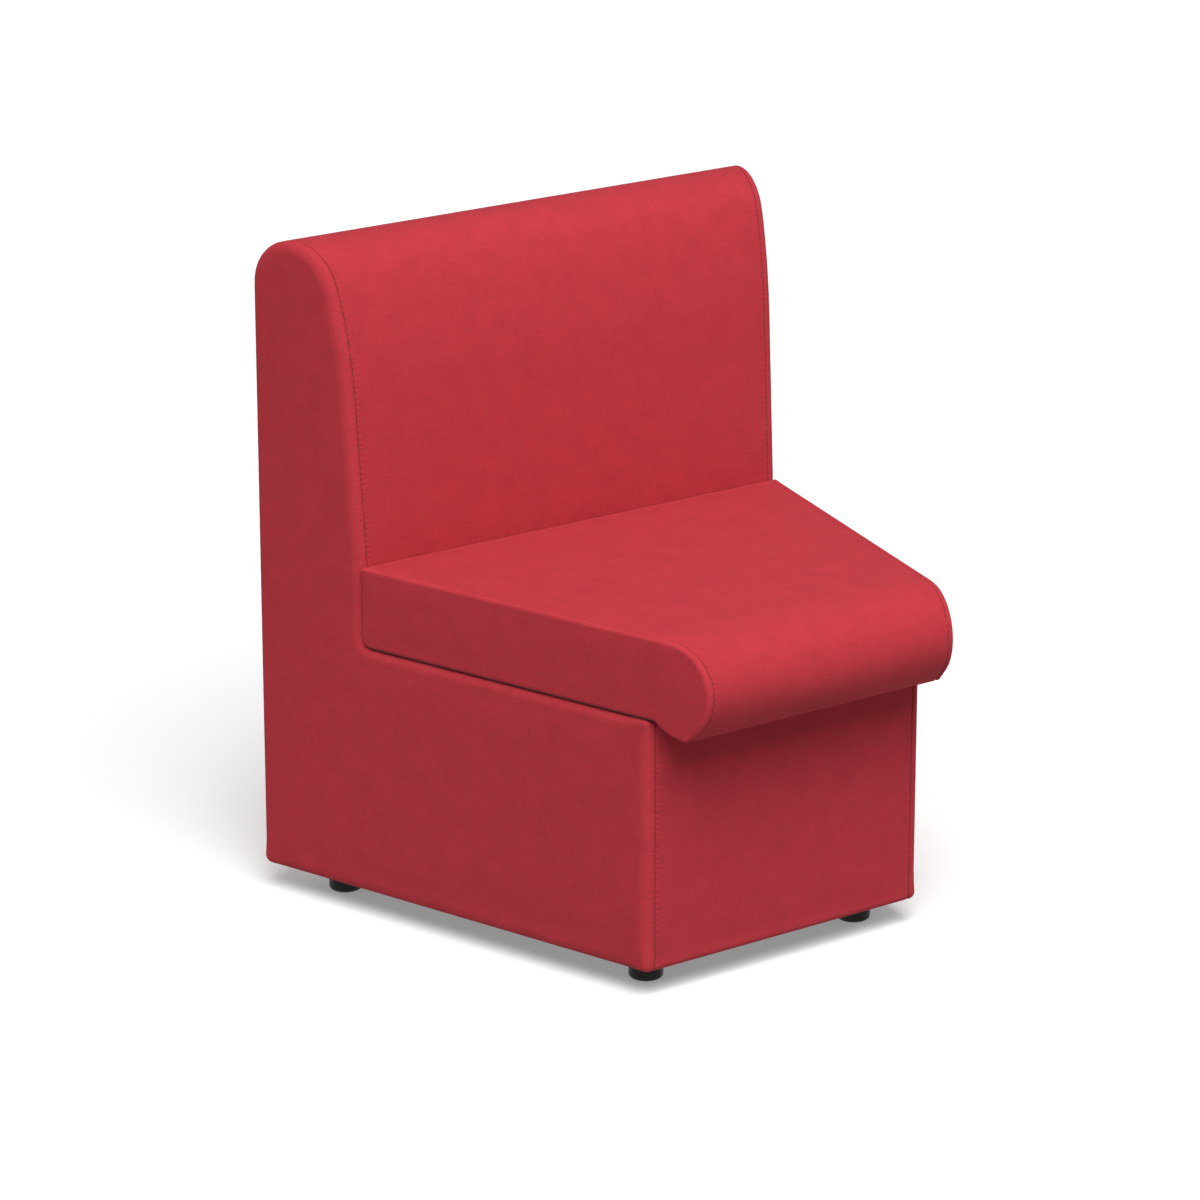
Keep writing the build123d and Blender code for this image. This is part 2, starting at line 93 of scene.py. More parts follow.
# ---------------------------------------------------------------- node trees
class Tree:
    """Short ways to add and join nodes in a shader or geometry tree."""

    def __init__(self, tree: bpy.types.NodeTree) -> None:
        """Start on an empty tree.

        Args:
            tree: The node tree to fill.
        """
        self.tree = tree
        self.tree.nodes.clear()

    def add(self, kind: str, inputs: dict | None = None, **settings: object) -> bpy.types.Node:
        """Add a node, set it, and plug in its inputs.

        Args:
            kind: The node's class name.
            inputs: Values or output sockets, by input name or index.
            settings: Properties of the node.

        Returns:
            The new node.
        """
        node = self.tree.nodes.new(kind)
        for name, value in settings.items():
            setattr(node, name, value)
        for key, value in (inputs or {}).items():
            if isinstance(value, bpy.types.NodeSocket):
                self.tree.links.new(value, node.inputs[key])
            else:
                node.inputs[key].default_value = value
        return node

    def math(self, operation: str, *terms: object) -> bpy.types.NodeSocket:
        """Work out one number.

        Args:
            operation: A Math node's operation.
            terms: Its one to three terms, as numbers or sockets.

        Returns:
            The result's socket.
        """
        node = self.add("ShaderNodeMath", dict(enumerate(terms)), operation=operation)
        return node.outputs[0]

    def mix(self, share: object, low: object, high: object, kind: str = "RGBA") -> bpy.types.NodeSocket:
        """Blend two colours or two numbers.

        Args:
            share: How much of the second one shows.
            low: The first.
            high: The second.
            kind: RGBA for colours or FLOAT for numbers.

        Returns:
            The blend's socket.
        """
        node = self.add("ShaderNodeMix", data_type=kind)
        wanted = {"Factor": share, "A": low, "B": high}
        for socket in node.inputs:
            if socket.enabled and socket.name in wanted:
                value = wanted[socket.name]
                if isinstance(value, bpy.types.NodeSocket):
                    self.tree.links.new(value, socket)
                else:
                    socket.default_value = value
        return next(socket for socket in node.outputs if socket.enabled)

    def noise(self, vector: object, scale: float, detail: float = 2.0) -> bpy.types.NodeSocket:
        """Smooth random values.

        Args:
            vector: Where to look them up.
            scale: Lumps for each unit.
            detail: How many finer layers are added.

        Returns:
            The value's socket, about 0 to 1.
        """
        inputs = {"Vector": vector, "Scale": scale, "Detail": detail}
        return self.add("ShaderNodeTexNoise", inputs).outputs[0]

    def stretch(
        self, vector: object, scale: tuple[float, float, float], turn: tuple[float, float, float] = (0, 0, 0)
    ) -> bpy.types.NodeSocket:
        """Scale and turn a pattern's coordinates.

        Args:
            vector: The coordinates.
            scale: Lumps for each metre along the three axes.
            turn: Rotation about the axes.

        Returns:
            The new coordinates' socket.
        """
        inputs = {"Vector": vector, "Scale": scale, "Rotation": turn}
        return self.add("ShaderNodeMapping", inputs).outputs[0]

    def bump(
        self, height: object, distance: float, strength: float = 1.0, normal: object = None
    ) -> bpy.types.NodeSocket:
        """Turn a height into a bumped normal.

        Args:
            height: The height's socket, about 0 to 1.
            distance: How tall a height of 1 is, in metres.
            strength: How much of it shows.
            normal: A normal that this one adds to.

        Returns:
            The normal's socket.
        """
        inputs = {"Height": height, "Distance": distance, "Strength": strength}
        if normal is not None:
            inputs["Normal"] = normal
        return self.add("ShaderNodeBump", inputs).outputs[0]


@dataclass(frozen=True)
class Finish:
    """A surface finish, made as one procedural material."""

    name: str
    color: tuple[float, float, float] = (0.5, 0.5, 0.5)
    roughness: float = 0.6
    metallic: float = 0.0

    def make(self) -> bpy.types.Material:
        """Build the material.

        Returns:
            The finished material, built once and used again after that.
        """
        known = bpy.data.materials.get(self.name)
        if known:
            return known
        material = bpy.data.materials.new(self.name)
        material.use_nodes = True
        material.diffuse_color = (*self.color, 1.0)
        tree = Tree(material.node_tree)
        shader = tree.add("ShaderNodeBsdfPrincipled")
        shader.inputs["Metallic"].default_value = self.metallic
        tree.add("ShaderNodeOutputMaterial", {"Surface": shader.outputs[0]})
        self.dress(tree, shader)
        return material

    def dress(self, tree: Tree, shader: bpy.types.Node) -> None:
        """Join the finish's pattern to the shader.

        Args:
            tree: The material's tree.
            shader: Its Principled shader.
        """
        raise NotImplementedError

    def shade(self, value: float) -> tuple[float, float, float, float]:
        """The finish's colour, made lighter or darker."""
        return (*(channel * value for channel in self.color), 1.0)


@dataclass(frozen=True)
class WovenCloth(Finish):
    """Plain woven upholstery cloth, which follows the piece's own cloth map."""

    pitch: float = 1.1 * MILLIMETRE  # from thread to thread
    slub_width: float = 1.6 * MILLIMETRE
    slub_length: float = 22 * MILLIMETRE
    slub_height: float = 0.25 * MILLIMETRE
    thread_height: float = 0.16 * MILLIMETRE
    blotches: float = 28.0  # lumps for each metre
    contrast: float = 0.17
    sharpness: float = 2.4  # how abruptly light threads turn to dark
    wear: float = 0.42
    sheen: float = 0.1
    sheen_tint: tuple[float, float, float] = (1.0, 0.35, 0.4)
    pucker_pitch: float = 7 * MILLIMETRE
    pucker_reach: float = 5 * MILLIMETRE
    pucker_height: float = 0.22 * MILLIMETRE
    pucker_wander: float = 9.0  # radians that the puckers drift from even steps

    def dress(self, tree: Tree, shader: bpy.types.Node) -> None:
        """Weave with painted shade between its threads, slubs, puckers along the seams and wear on the edges.

        Args:
            tree: The material's tree.
            shader: Its Principled shader.
        """
        cloth = tree.add("ShaderNodeUVMap", uv_map=CLOTH_UV).outputs[0]
        split = tree.add("ShaderNodeSeparateXYZ", {0: cloth})
        waves = [
            tree.math("SINE", tree.math("MULTIPLY", split.outputs[axis], math.pi / self.pitch)) for axis in (0, 1)
        ]
        over = tree.math("GREATER_THAN", tree.math("MULTIPLY", *waves), 0.0)
        ribs = [tree.math("ABSOLUTE", wave) for wave in waves]
        weave = tree.mix(over, ribs[0], ribs[1], "FLOAT")

        across, along = 1 / self.slub_width, 1 / self.slub_length
        weft = tree.noise(tree.stretch(cloth, (along, across, 1)), 1.0, 1.0)
        warp = tree.noise(tree.stretch(cloth, (across, along, 1)), 1.0, 1.0)
        blotch = tree.noise(cloth, self.blotches, 3.0)
        slubs = tree.math("ADD", tree.math("MULTIPLY", weft, 0.5), tree.math("MULTIPLY", warp, 0.5))
        tone = tree.math("ADD", tree.math("MULTIPLY", slubs, 0.7), tree.math("MULTIPLY", blotch, 0.3))
        # painted highlight and shade: the weave's rib crowns are painted lighter and the gaps between threads
        # darker
        tone = tree.math("MULTIPLY_ADD", tree.math("SUBTRACT", weave, 0.6), 0.12, tone)
        sharp = tree.math("MULTIPLY_ADD", tree.math("SUBTRACT", tone, 0.5), self.sharpness, 0.5)
        low, high = self.shade(1 - self.contrast), self.shade(1 + self.contrast)
        color = tree.mix(tree.math("MINIMUM", tree.math("MAXIMUM", sharp, 0.0), 1.0), low, high)
        wear = tree.add("ShaderNodeAttribute", attribute_name=EDGE_WEAR).outputs["Fac"]
        worn = tree.math("MULTIPLY", wear, tree.math("MULTIPLY", blotch, self.wear))
        faded = tuple(min(1.0, channel * 1.35 + 0.012) for channel in self.color)
        color = tree.mix(worn, color, (*faded, 1.0))

        gap = tree.add("ShaderNodeAttribute", attribute_name=SEAM_GAP).outputs["Fac"]
        run = tree.add("ShaderNodeAttribute", attribute_name=SEAM_RUN).outputs["Fac"]
        fading = tree.math("EXPONENT", tree.math("DIVIDE", gap, -self.pucker_reach))
        drift = tree.noise(tree.stretch(cloth, (30, 30, 30)), 1.0, 1.0)
        wander = tree.math("MULTIPLY", drift, self.pucker_wander)
        phase = tree.math("MULTIPLY_ADD", run, 2 * math.pi / self.pucker_pitch, wander)
        pucker = tree.math("MULTIPLY", tree.math("SINE", phase), fading)

        rough = tree.math("MULTIPLY_ADD", tree.math("SUBTRACT", slubs, 0.5), 0.25, self.roughness)
        normal = tree.bump(pucker, self.pucker_height)
        normal = tree.bump(slubs, self.slub_height, 0.6, normal)
        normal = tree.bump(weave, self.thread_height, 0.7, normal)
        shader.inputs["Sheen Weight"].default_value = self.sheen
        shader.inputs["Sheen Roughness"].default_value = 0.4
        shader.inputs["Sheen Tint"].default_value = (*self.sheen_tint, 1.0)
        shader.inputs["Specular IOR Level"].default_value = 0.2
        tree.tree.links.new(color, shader.inputs["Base Color"])
        tree.tree.links.new(rough, shader.inputs["Roughness"])
        tree.tree.links.new(normal, shader.inputs["Normal"])


@dataclass(frozen=True)
class BondedCloth(Finish):
    """Thin bonded lining: short crossing fibres, with the dimples of its bonding roller."""

    fibres_across: float = 900.0  # fibres for each metre
    fibres_along: float = 160.0
    fibre_turn: float = 0.6
    fibre_height: float = 0.15 * MILLIMETRE
    dimples: float = 420.0  # dimples for each metre
    dimple_depth: float = 0.3 * MILLIMETRE

    def dress(self, tree: Tree, shader: bpy.types.Node) -> None:
        """Fibres and dimples.

        Args:
            tree: The material's tree.
            shader: Its Principled shader.
        """
        place = tree.add("ShaderNodeTexCoord").outputs["Object"]
        across, along, turn = self.fibres_across, self.fibres_along, (0, 0, self.fibre_turn)
        fibres = tree.noise(tree.stretch(place, (across, along, across), turn), 1.0, 4.0)
        crossing = tree.noise(tree.stretch(place, (along, across, across), turn), 1.0, 4.0)
        dimples = tree.add("ShaderNodeTexVoronoi", {"Vector": place, "Scale": self.dimples}).outputs["Distance"]
        felt = tree.math("MULTIPLY", tree.math("ADD", fibres, crossing), 0.5)
        tree.tree.links.new(tree.mix(felt, self.shade(0.5), self.shade(2.2)), shader.inputs["Base Color"])
        rough = tree.math("MULTIPLY_ADD", felt, 0.2, self.roughness - 0.1)
        tree.tree.links.new(rough, shader.inputs["Roughness"])
        normal = tree.bump(dimples, self.dimple_depth, 0.6, tree.bump(felt, self.fibre_height))
        tree.tree.links.new(normal, shader.inputs["Normal"])


@dataclass(frozen=True)
class CutFoam(Finish):
    """Cut polyurethane foam with open cells."""

    cell: float = 0.9 * MILLIMETRE
    cell_depth: float = 0.5 * MILLIMETRE
    blotches: float = 14.0  # lumps for each metre

    def dress(self, tree: Tree, shader: bpy.types.Node) -> None:
        """Open cells, with painted shade in their pits, and faint yellowing.

        Args:
            tree: The material's tree.
            shader: Its Principled shader.
        """
        place = tree.add("ShaderNodeTexCoord").outputs["Object"]
        cells = tree.add("ShaderNodeTexVoronoi", {"Vector": place, "Scale": 1 / self.cell}).outputs["Distance"]
        blotch = tree.noise(place, self.blotches, 3.0)
        pale = tree.mix(blotch, self.shade(1.06), self.shade(0.82))
        # painted shade: the cells' pits, which the bump sinks, are painted darker
        tree.tree.links.new(tree.mix(cells, self.shade(0.55), pale), shader.inputs["Base Color"])
        rough = tree.math("MULTIPLY_ADD", cells, 0.15, self.roughness - 0.1)
        tree.tree.links.new(rough, shader.inputs["Roughness"])
        tree.tree.links.new(tree.bump(cells, self.cell_depth), shader.inputs["Normal"])


@dataclass(frozen=True)
class Plywood(Finish):
    """Bare birch plywood: grain on its faces and its layers on the cut edges."""

    stack: tuple[float, float, float] = Veneer.DEEP.value
    layer: float = 1.5 * MILLIMETRE
    grain: tuple[float, float, float] = (14, 90, 240)  # lines for each metre
    pores: tuple[float, float, float] = (160, 700, 1500)
    figure_height: float = 0.12 * MILLIMETRE

    def dress(self, tree: Tree, shader: bpy.types.Node) -> None:
        """Grain, layers and small pores.

        Args:
            tree: The material's tree.
            shader: Its Principled shader.
        """
        place = tree.add("ShaderNodeTexCoord").outputs["Object"]
        board = tree.stretch(place, (1, 1, 1), self.stack)
        grain = tree.noise(tree.stretch(board, self.grain), 1.0, 5.0)
        split = tree.add("ShaderNodeSeparateXYZ", {0: board})
        layers = tree.math("SINE", tree.math("MULTIPLY", split.outputs[1], math.pi / self.layer))
        dark = tree.math("MULTIPLY", tree.math("GREATER_THAN", layers, 0.0), 0.35)
        pores = tree.noise(tree.stretch(board, self.pores), 1.0, 2.0)
        figure = tree.math("ADD", tree.math("MULTIPLY", grain, 0.8), dark)
        wood = tree.mix(figure, self.shade(1.2), self.shade(0.62))
        speckled = tree.mix(tree.math("MULTIPLY", pores, 0.35), wood, self.shade(0.4))
        tree.tree.links.new(speckled, shader.inputs["Base Color"])
        rough = tree.math("MULTIPLY_ADD", grain, 0.25, self.roughness - 0.12)
        tree.tree.links.new(rough, shader.inputs["Roughness"])
        tree.tree.links.new(tree.bump(figure, self.figure_height, 0.5), shader.inputs["Normal"])


@dataclass(frozen=True)
class MouldedNylon(Finish):
    """Black moulded nylon with a fine texture and light scuffs."""

    grain: float = 2600.0  # lumps for each metre
    grain_height: float = 0.05 * MILLIMETRE
    scuff: tuple[float, float, float] = (60, 60, 900)  # lines for each metre
    scuff_level: float = 0.66  # scuffs show where their noise is above this

    def dress(self, tree: Tree, shader: bpy.types.Node) -> None:
        """Moulded grain and scuffs.

        Args:
            tree: The material's tree.
            shader: Its Principled shader.
        """
        place = tree.add("ShaderNodeTexCoord").outputs["Object"]
        grain = tree.noise(place, self.grain, 2.0)
        scuffs = tree.noise(tree.stretch(place, self.scuff), 1.0, 3.0)
        worn = tree.math("GREATER_THAN", scuffs, self.scuff_level)
        tree.tree.links.new(tree.mix(worn, self.shade(1.0), self.shade(2.6)), shader.inputs["Base Color"])
        rough = tree.math("MULTIPLY_ADD", scuffs, 0.22, self.roughness - 0.1)
        tree.tree.links.new(rough, shader.inputs["Roughness"])
        tree.tree.links.new(tree.bump(grain, self.grain_height, 0.5), shader.inputs["Normal"])
        shader.inputs["Specular IOR Level"].default_value = 0.3
        shader.inputs["Coat Weight"].default_value = 0.1
        shader.inputs["Coat Roughness"].default_value = 0.25


@dataclass(frozen=True)
class ZincSteel(Finish):
    """Zinc-plated steel: a brushed body with the faint bloom of its plating."""

    brushing: tuple[float, float, float] = (300, 300, 2600)  # lines for each metre
    brushing_depth: float = 0.03 * MILLIMETRE
    bloom: float = 190.0  # lumps for each metre

    def dress(self, tree: Tree, shader: bpy.types.Node) -> None:
        """Brushing and bloom.

        Args:
            tree: The material's tree.
            shader: Its Principled shader.
        """
        place = tree.add("ShaderNodeTexCoord").outputs["Object"]
        brushed = tree.noise(tree.stretch(place, self.brushing), 1.0, 3.0)
        bloom = tree.noise(place, self.bloom, 4.0)
        tone = tree.mix(bloom, self.shade(0.8), self.shade(1.15))
        tree.tree.links.new(tone, shader.inputs["Base Color"])
        rough = tree.math("MULTIPLY_ADD", brushed, 0.25, self.roughness - 0.12)
        tree.tree.links.new(rough, shader.inputs["Roughness"])
        tree.tree.links.new(tree.bump(brushed, self.brushing_depth, 0.6), shader.inputs["Normal"])


@dataclass(frozen=True)
class SewingThread(Finish):
    """Bonded sewing thread, twisted, a little glossier than the cloth."""

    turns: float = 700.0  # for each metre
    twist_height: float = 0.08 * MILLIMETRE

    def dress(self, tree: Tree, shader: bpy.types.Node) -> None:
        """The thread's twist, painted darker in its grooves as painted shade.

        Args:
            tree: The material's tree.
            shader: Its Principled shader.
        """
        place = tree.add("ShaderNodeTexCoord").outputs["Object"]
        wave = {"Vector": place, "Scale": self.turns, "Distortion": 1.5}
        twist = tree.add("ShaderNodeTexWave", wave).outputs["Fac"]
        # painted shade: the twist's grooves, sunk by the bump, are painted darker
        tree.tree.links.new(tree.mix(twist, self.shade(0.7), self.shade(1.15)), shader.inputs["Base Color"])
        rough = tree.math("MULTIPLY_ADD", twist, 0.2, self.roughness - 0.1)
        tree.tree.links.new(rough, shader.inputs["Roughness"])
        tree.tree.links.new(tree.bump(twist, self.twist_height), shader.inputs["Normal"])


@dataclass(frozen=True)
class StudioFloor(Finish):
    """Plain pale studio floor, lit from underneath so that shadows on it stay faint."""

    glow: float = 0.25
    blotches: float = 0.6  # lumps for each metre

    def dress(self, tree: Tree, shader: bpy.types.Node) -> None:
        """A faint unevenness.

        Args:
            tree: The material's tree.
            shader: Its Principled shader.
        """
        place = tree.add("ShaderNodeTexCoord").outputs["Object"]
        blotch = tree.noise(place, self.blotches, 2.0)
        tree.tree.links.new(tree.mix(blotch, self.shade(0.985), self.shade(1.0)), shader.inputs["Base Color"])
        shader.inputs["Roughness"].default_value = self.roughness
        shader.inputs["Specular IOR Level"].default_value = 0.0
        shader.inputs["Emission Color"].default_value = (1.0, 1.0, 1.0, 1.0)
        shader.inputs["Emission Strength"].default_value = self.glow


RED_CLOTH = WovenCloth("red_woven_cloth", (0.448, 0.030, 0.043), 0.84)
BLACK_LINING = BondedCloth("black_bonded_lining", (0.022, 0.022, 0.024), 0.9)
CREAM_FOAM = CutFoam("cream_cut_foam", (0.80, 0.72, 0.52), 0.92)
BLACK_NYLON = MouldedNylon("black_moulded_nylon", (0.004, 0.004, 0.0045), 0.36)
PLATED_STEEL = ZincSteel("zinc_plated_steel", (0.62, 0.63, 0.65), 0.38, 1.0)
RED_THREAD = SewingThread("red_sewing_thread", (0.30, 0.018, 0.028), 0.6)
PALE_FLOOR = StudioFloor("pale_studio_floor", (0.78, 0.78, 0.78), 0.9)


def plywood(stack: Veneer) -> Plywood:
    """Birch plywood whose layers are stacked one way."""
    return Plywood(f"birch_plywood_{stack.name.lower()}", (0.62, 0.44, 0.27), 0.62, stack=stack.value)


# ---------------------------------------------------------------- sizes and outlines
@dataclass(frozen=True)
class SeatPlan:
    """Where the wedge's slanted sides stand, and its heights."""

    rear_y: float
    rear_width: float
    base_depth: float
    overall_depth: float
    overall_height: float
    seat_height: float
    base_height: float
    ground_gap: float
    slant: float = math.radians(15.0)

    @classmethod
    def of_frame(cls) -> "SeatPlan":
        """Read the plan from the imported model.

        Returns:
            The plan.
        """
        side_low, side_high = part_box("side_cover_left")
        rear_y = side_high.y
        return cls(
            rear_y=rear_y,
            rear_width=-2 * side_low.x,
            base_depth=rear_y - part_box("front_cover")[0].y,
            overall_depth=rear_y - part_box("seat_top_cover")[0].y,
            overall_height=side_high.z,
            seat_height=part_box("seat_top_cover")[1].z,
            base_height=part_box("deck_cloth")[1].z,
            ground_gap=side_low.z,
        )

    def half_width(self, depth: np.ndarray | float, inset: np.ndarray | float = 0.0) -> np.ndarray | float:
        """Distance from the centre plane to a side.

        Args:
            depth: Depth of the place.
            inset: How far inside the side's face it lies.

        Returns:
            The distance.
        """
        return self.rear_width / 2 - depth * math.tan(self.slant) - inset / math.cos(self.slant)

    def places(self, hand: Hand, depth: np.ndarray, height: np.ndarray, inset: np.ndarray | float) -> np.ndarray:
        """Points beside one of the sides.

        Args:
            hand: The side.
            depth: Depths of the points.
            height: Heights of the points.
            inset: Their insets.

        Returns:
            One row of x, y and z for each point.
        """
        x = hand.value * self.half_width(depth, inset)
        return np.stack([x, self.rear_y - depth, np.broadcast_to(height, np.shape(x))], axis=-1)


@dataclass(frozen=True)
class Corner:
    """A corner of a side-view outline and the radius that rounds it."""

    depth: float
    height: float
    radius: float


class Outline:
    """A closed side-view outline with rounded corners, as points at even steps.

    Its corners go clockwise as seen with depth to the right, so its outside is on the left of its run.
    """

    STRAIGHT = 1.0  # the radius that stands for no bend
    SHARPEST_TURN = math.radians(12)  # between two points of a rounded corner

    def __init__(self, corners: list[Corner], step: float) -> None:
        """Round the corners and space the points.

        Args:
            corners: The sharp corners, in order.
            step: Greatest distance between points.
        """
        self.points, self.outward, self.bend = [], [], []
        sharp = np.array([(corner.depth, corner.height) for corner in corners])
        count = len(corners)
        for index, corner in enumerate(corners):
            ahead, behind = sharp[(index + 1) % count] - sharp[index], sharp[index] - sharp[index - 1]
            self._round(sharp[index], behind, ahead, corner.radius, step)
        self.points, self.outward = np.array(self.points), np.array(self.outward)
        self.bend = np.array(self.bend)
        self._fill(step)

    def _round(self, sharp: np.ndarray, behind: np.ndarray, ahead: np.ndarray, radius: float, step: float) -> None:
        """Add one rounded corner's points.

        Args:
            sharp: The sharp corner.
            behind: The edge that leads to it.
            ahead: The edge that leaves it.
            radius: The rounding.
            step: Greatest distance between points.
        """
        start, end = math.atan2(behind[1], behind[0]), math.atan2(ahead[1], ahead[0])
        turn = (end - start + math.pi) % (2 * math.pi) - math.pi
        entry = sharp - behind / np.linalg.norm(behind) * radius * math.tan(abs(turn) / 2)
        side = -1 if turn < 0 else 1  # a right turn is rounded about a centre inside
        centre = entry + side * radius * np.array((-math.sin(start), math.cos(start)))
        pieces = max(2, math.ceil(abs(turn) * radius / step), math.ceil(abs(turn) / self.SHARPEST_TURN))
        for part in range(pieces + 1):
            heading = start + turn * part / pieces
            left = np.array((-math.sin(heading), math.cos(heading)))
            self.points.append(centre - side * radius * left)
            self.outward.append(left)
            self.bend.append(radius if turn < 0 else self.STRAIGHT)

    def _fill(self, step: float) -> None:
        """Add points along the straight stretches, and measure the run.

        Args:
            step: Greatest distance between points.
        """
        points, outward, bend = [], [], []
        count = len(self.points)
        for index in range(count):
            here, there = self.points[index], self.points[(index + 1) % count]
            length = np.linalg.norm(there - here)
            pieces = max(1, math.ceil(length / step - 0.01)) if length > 0.1 * MILLIMETRE else 0
            for part in range(pieces):
                share = part / pieces
                points.append(here + (there - here) * share)
                left = self.outward[index] * (1 - share) + self.outward[(index + 1) % count] * share
                outward.append(left / np.linalg.norm(left))
                bend.append(self.bend[index] if part == 0 else self.STRAIGHT)
        self.points, self.outward, self.bend = np.array(points), np.array(outward), np.array(bend)
        lengths = np.linalg.norm(np.roll(self.points, -1, axis=0) - self.points, axis=1)
        self.length = float(lengths.sum())
        self.run = np.concatenate([[0.0], np.cumsum(lengths)[:-1]])

    def rim_radius(self, wanted: float, share: float = 0.8, slope: float = 0.3) -> np.ndarray:
        """Radius that rounds the rim, less where the outline itself bends sharply.

        Args:
            wanted: The radius on a straight stretch.
            share: The most that it may be of the outline's own radius.
            slope: How fast it may change along the outline.

        Returns:
            One radius for each point.
        """
        limit = np.minimum(wanted, share * self.bend)
        apart = np.abs(self.run[:, None] - self.run[None, :])
        apart = np.minimum(apart, self.length - apart)
        return np.minimum(wanted, (limit[None, :] + slope * apart).min(axis=1))

    def _run_at(self, place: tuple[float, float]) -> float:
        """How far along the outline a place is.

        Args:
            place: Its depth and height.

        Returns:
            The run from the outline's first point.
        """
        ahead = np.roll(self.points, -1, axis=0) - self.points
        share = ((np.array(place) - self.points) * ahead).sum(axis=1) / (ahead**2).sum(axis=1)
        share = np.clip(share, 0, 1)
        apart = np.linalg.norm(self.points + share[:, None] * ahead - np.array(place), axis=1)
        nearest = int(apart.argmin())
        return float(self.run[nearest] + share[nearest] * np.linalg.norm(ahead[nearest]))

    def stretch(self, start: tuple[float, float], end: tuple[float, float]) -> "Stretch":
        """Cut out the run between two places.

        Args:
            start: Depth and height of its first point.
            end: Depth and height of its last point.

        Returns:
            The run.
        """
        first, last = self._run_at(start), self._run_at(end)
        last += self.length if last <= first else 0.0
        known = np.concatenate([self.run, self.run + self.length])
        between = known[(known > first + MILLIMETRE) & (known < last - MILLIMETRE)]
        runs = np.concatenate([[first], between, [last]])
        columns = [*self.points.T, *self.outward.T, self.bend]
        found = np.stack([np.interp(runs, self.run, column, period=self.length) for column in columns], axis=1)
        outward = found[:, 2:4] / np.linalg.norm(found[:, 2:4], axis=1, keepdims=True)
        return Stretch(found[:, :2], outward, found[:, 4])


class Stretch:
    """An open run of points in the side view."""

    def __init__(self, points: np.ndarray, outward: np.ndarray, bend: np.ndarray) -> None:
        """Keep the points and measure the run.

        Args:
            points: Depth and height of each point.
            outward: The outside's direction at each.
            bend: The outline's own radius at each.
        """
        self.points, self.outward, self.bend = points, outward, bend
        steps = np.linalg.norm(np.diff(points, axis=0), axis=1)
        self.run = np.concatenate([[0.0], np.cumsum(steps)])


@dataclass(frozen=True)
class StillZone:
    """A box of the side view where the cloth lies against something and can't swell."""

    depth: tuple[float, float]
    height: tuple[float, float]
    fade: float = 0.03

    def freedom(self, points: np.ndarray) -> np.ndarray:
        """How free the cloth is: 0 in the box, 1 past the fade round it.

        Args:
            points: Depth and height of each point.

        Returns:
            One number for each point.
        """
        past_depth = np.maximum(self.depth[0] - points[:, 0], points[:, 0] - self.depth[1])
        past_height = np.maximum(self.height[0] - points[:, 1], points[:, 1] - self.height[1])
        past = np.hypot(np.maximum(past_depth, 0), np.maximum(past_height, 0))
        share = np.clip(past / self.fade, 0, 1)
        return share * share * (3 - 2 * share)


# ---------------------------------------------------------------- meshes
class Skin:
    """Points, faces and cloth measures of one piece, before it is a mesh."""

    def __init__(self) -> None:
        """Start with nothing."""
        self.points, self.cloth, self.gap, self.run, self.wear, self.freedom = [], [], [], [], [], []
        self.faces: list[tuple[int, ...]] = []

    def row(self, points: np.ndarray, cloth: np.ndarray, gap: np.ndarray, run: np.ndarray, wear: np.ndarray,
            freedom: np.ndarray) -> range:
        """Add a row of points.

        Args:
            points: Their places.
            cloth: Their places on the flat cloth.
            gap: Their distances to the seam.
            run: Their distances along the seam.
            wear: How worn the points are, 0 to 1.
            freedom: How far the cloth is free to swell, 0 to 1.

        Returns:
            The points' numbers.
        """
        first, count = len(self.points), len(points)
        self.points.extend(points)
        self.cloth.extend(cloth)
        self.gap.extend(np.broadcast_to(gap, count))
        self.run.extend(np.broadcast_to(run, count))
        self.wear.extend(np.broadcast_to(wear, count))
        self.freedom.extend(np.broadcast_to(freedom, count))
        return range(first, first + count)

    def bridge(self, low: range, high: range, closed: bool) -> None:
        """Join two rows of equal length with four-sided faces.

        Args:
            low: The first row.
            high: The second row.
            closed: Whether the rows are rings.
        """
        count = len(low)
        for index in range(count if closed else count - 1):
            beside = (index + 1) % count
            self.faces.append((low[index], low[beside], high[beside], high[index]))

    def object(self, name: str, material: bpy.types.Material) -> bpy.types.Object:
        """Make the piece.

        Args:
            name: The piece's name.
            material: Its finish.

        Returns:
            The piece, with its cloth map and measures.
        """
        mesh = bpy.data.meshes.new(name)
        mesh.from_pydata([tuple(point) for point in self.points], [], self.faces)
        mesh.materials.append(material)
        for label, values in ((SEAM_GAP, self.gap), (SEAM_RUN, self.run), (EDGE_WEAR, self.wear)):
            attribute = mesh.attributes.new(label, "FLOAT", "POINT")
            attribute.data.foreach_set("value", np.array(values, np.float32))
        corners = np.zeros(len(mesh.loops), np.int32)
        mesh.loops.foreach_get("vertex_index", corners)
        cloth = mesh.uv_layers.new(name=CLOTH_UV)
        cloth.data.foreach_set("uv", np.array(self.cloth, np.float32)[corners].ravel())
        mesh.update()
        return link(name, mesh)


def link(name: str, mesh: bpy.types.Mesh) -> bpy.types.Object:
    """Put a mesh in the scene as an object at the origin.

    Args:
        name: The object's name.
        mesh: Its mesh, already in place.

    Returns:
        The object.
    """
    piece = bpy.data.objects.new(name, mesh)
    bpy.context.scene.collection.objects.link(piece)
    return piece


def settle(piece: bpy.types.Object, smooth: bool = True) -> bpy.types.Object:
    """Turn a piece with modifiers into a plain mesh.

    Args:
        piece: The piece.
        smooth: Whether its faces are shaded smooth.

    Returns:
        The same piece, with no modifiers.
    """
    graph = bpy.context.evaluated_depsgraph_get()
    graph.update()
    mesh = bpy.data.meshes.new_from_object(piece.evaluated_get(graph))
    mesh.name = piece.name
    piece.modifiers.clear()
    old, piece.data = piece.data, mesh
    bpy.data.meshes.remove(old)
    mesh.polygons.foreach_set("use_smooth", np.full(len(mesh.polygons), smooth))
    return piece


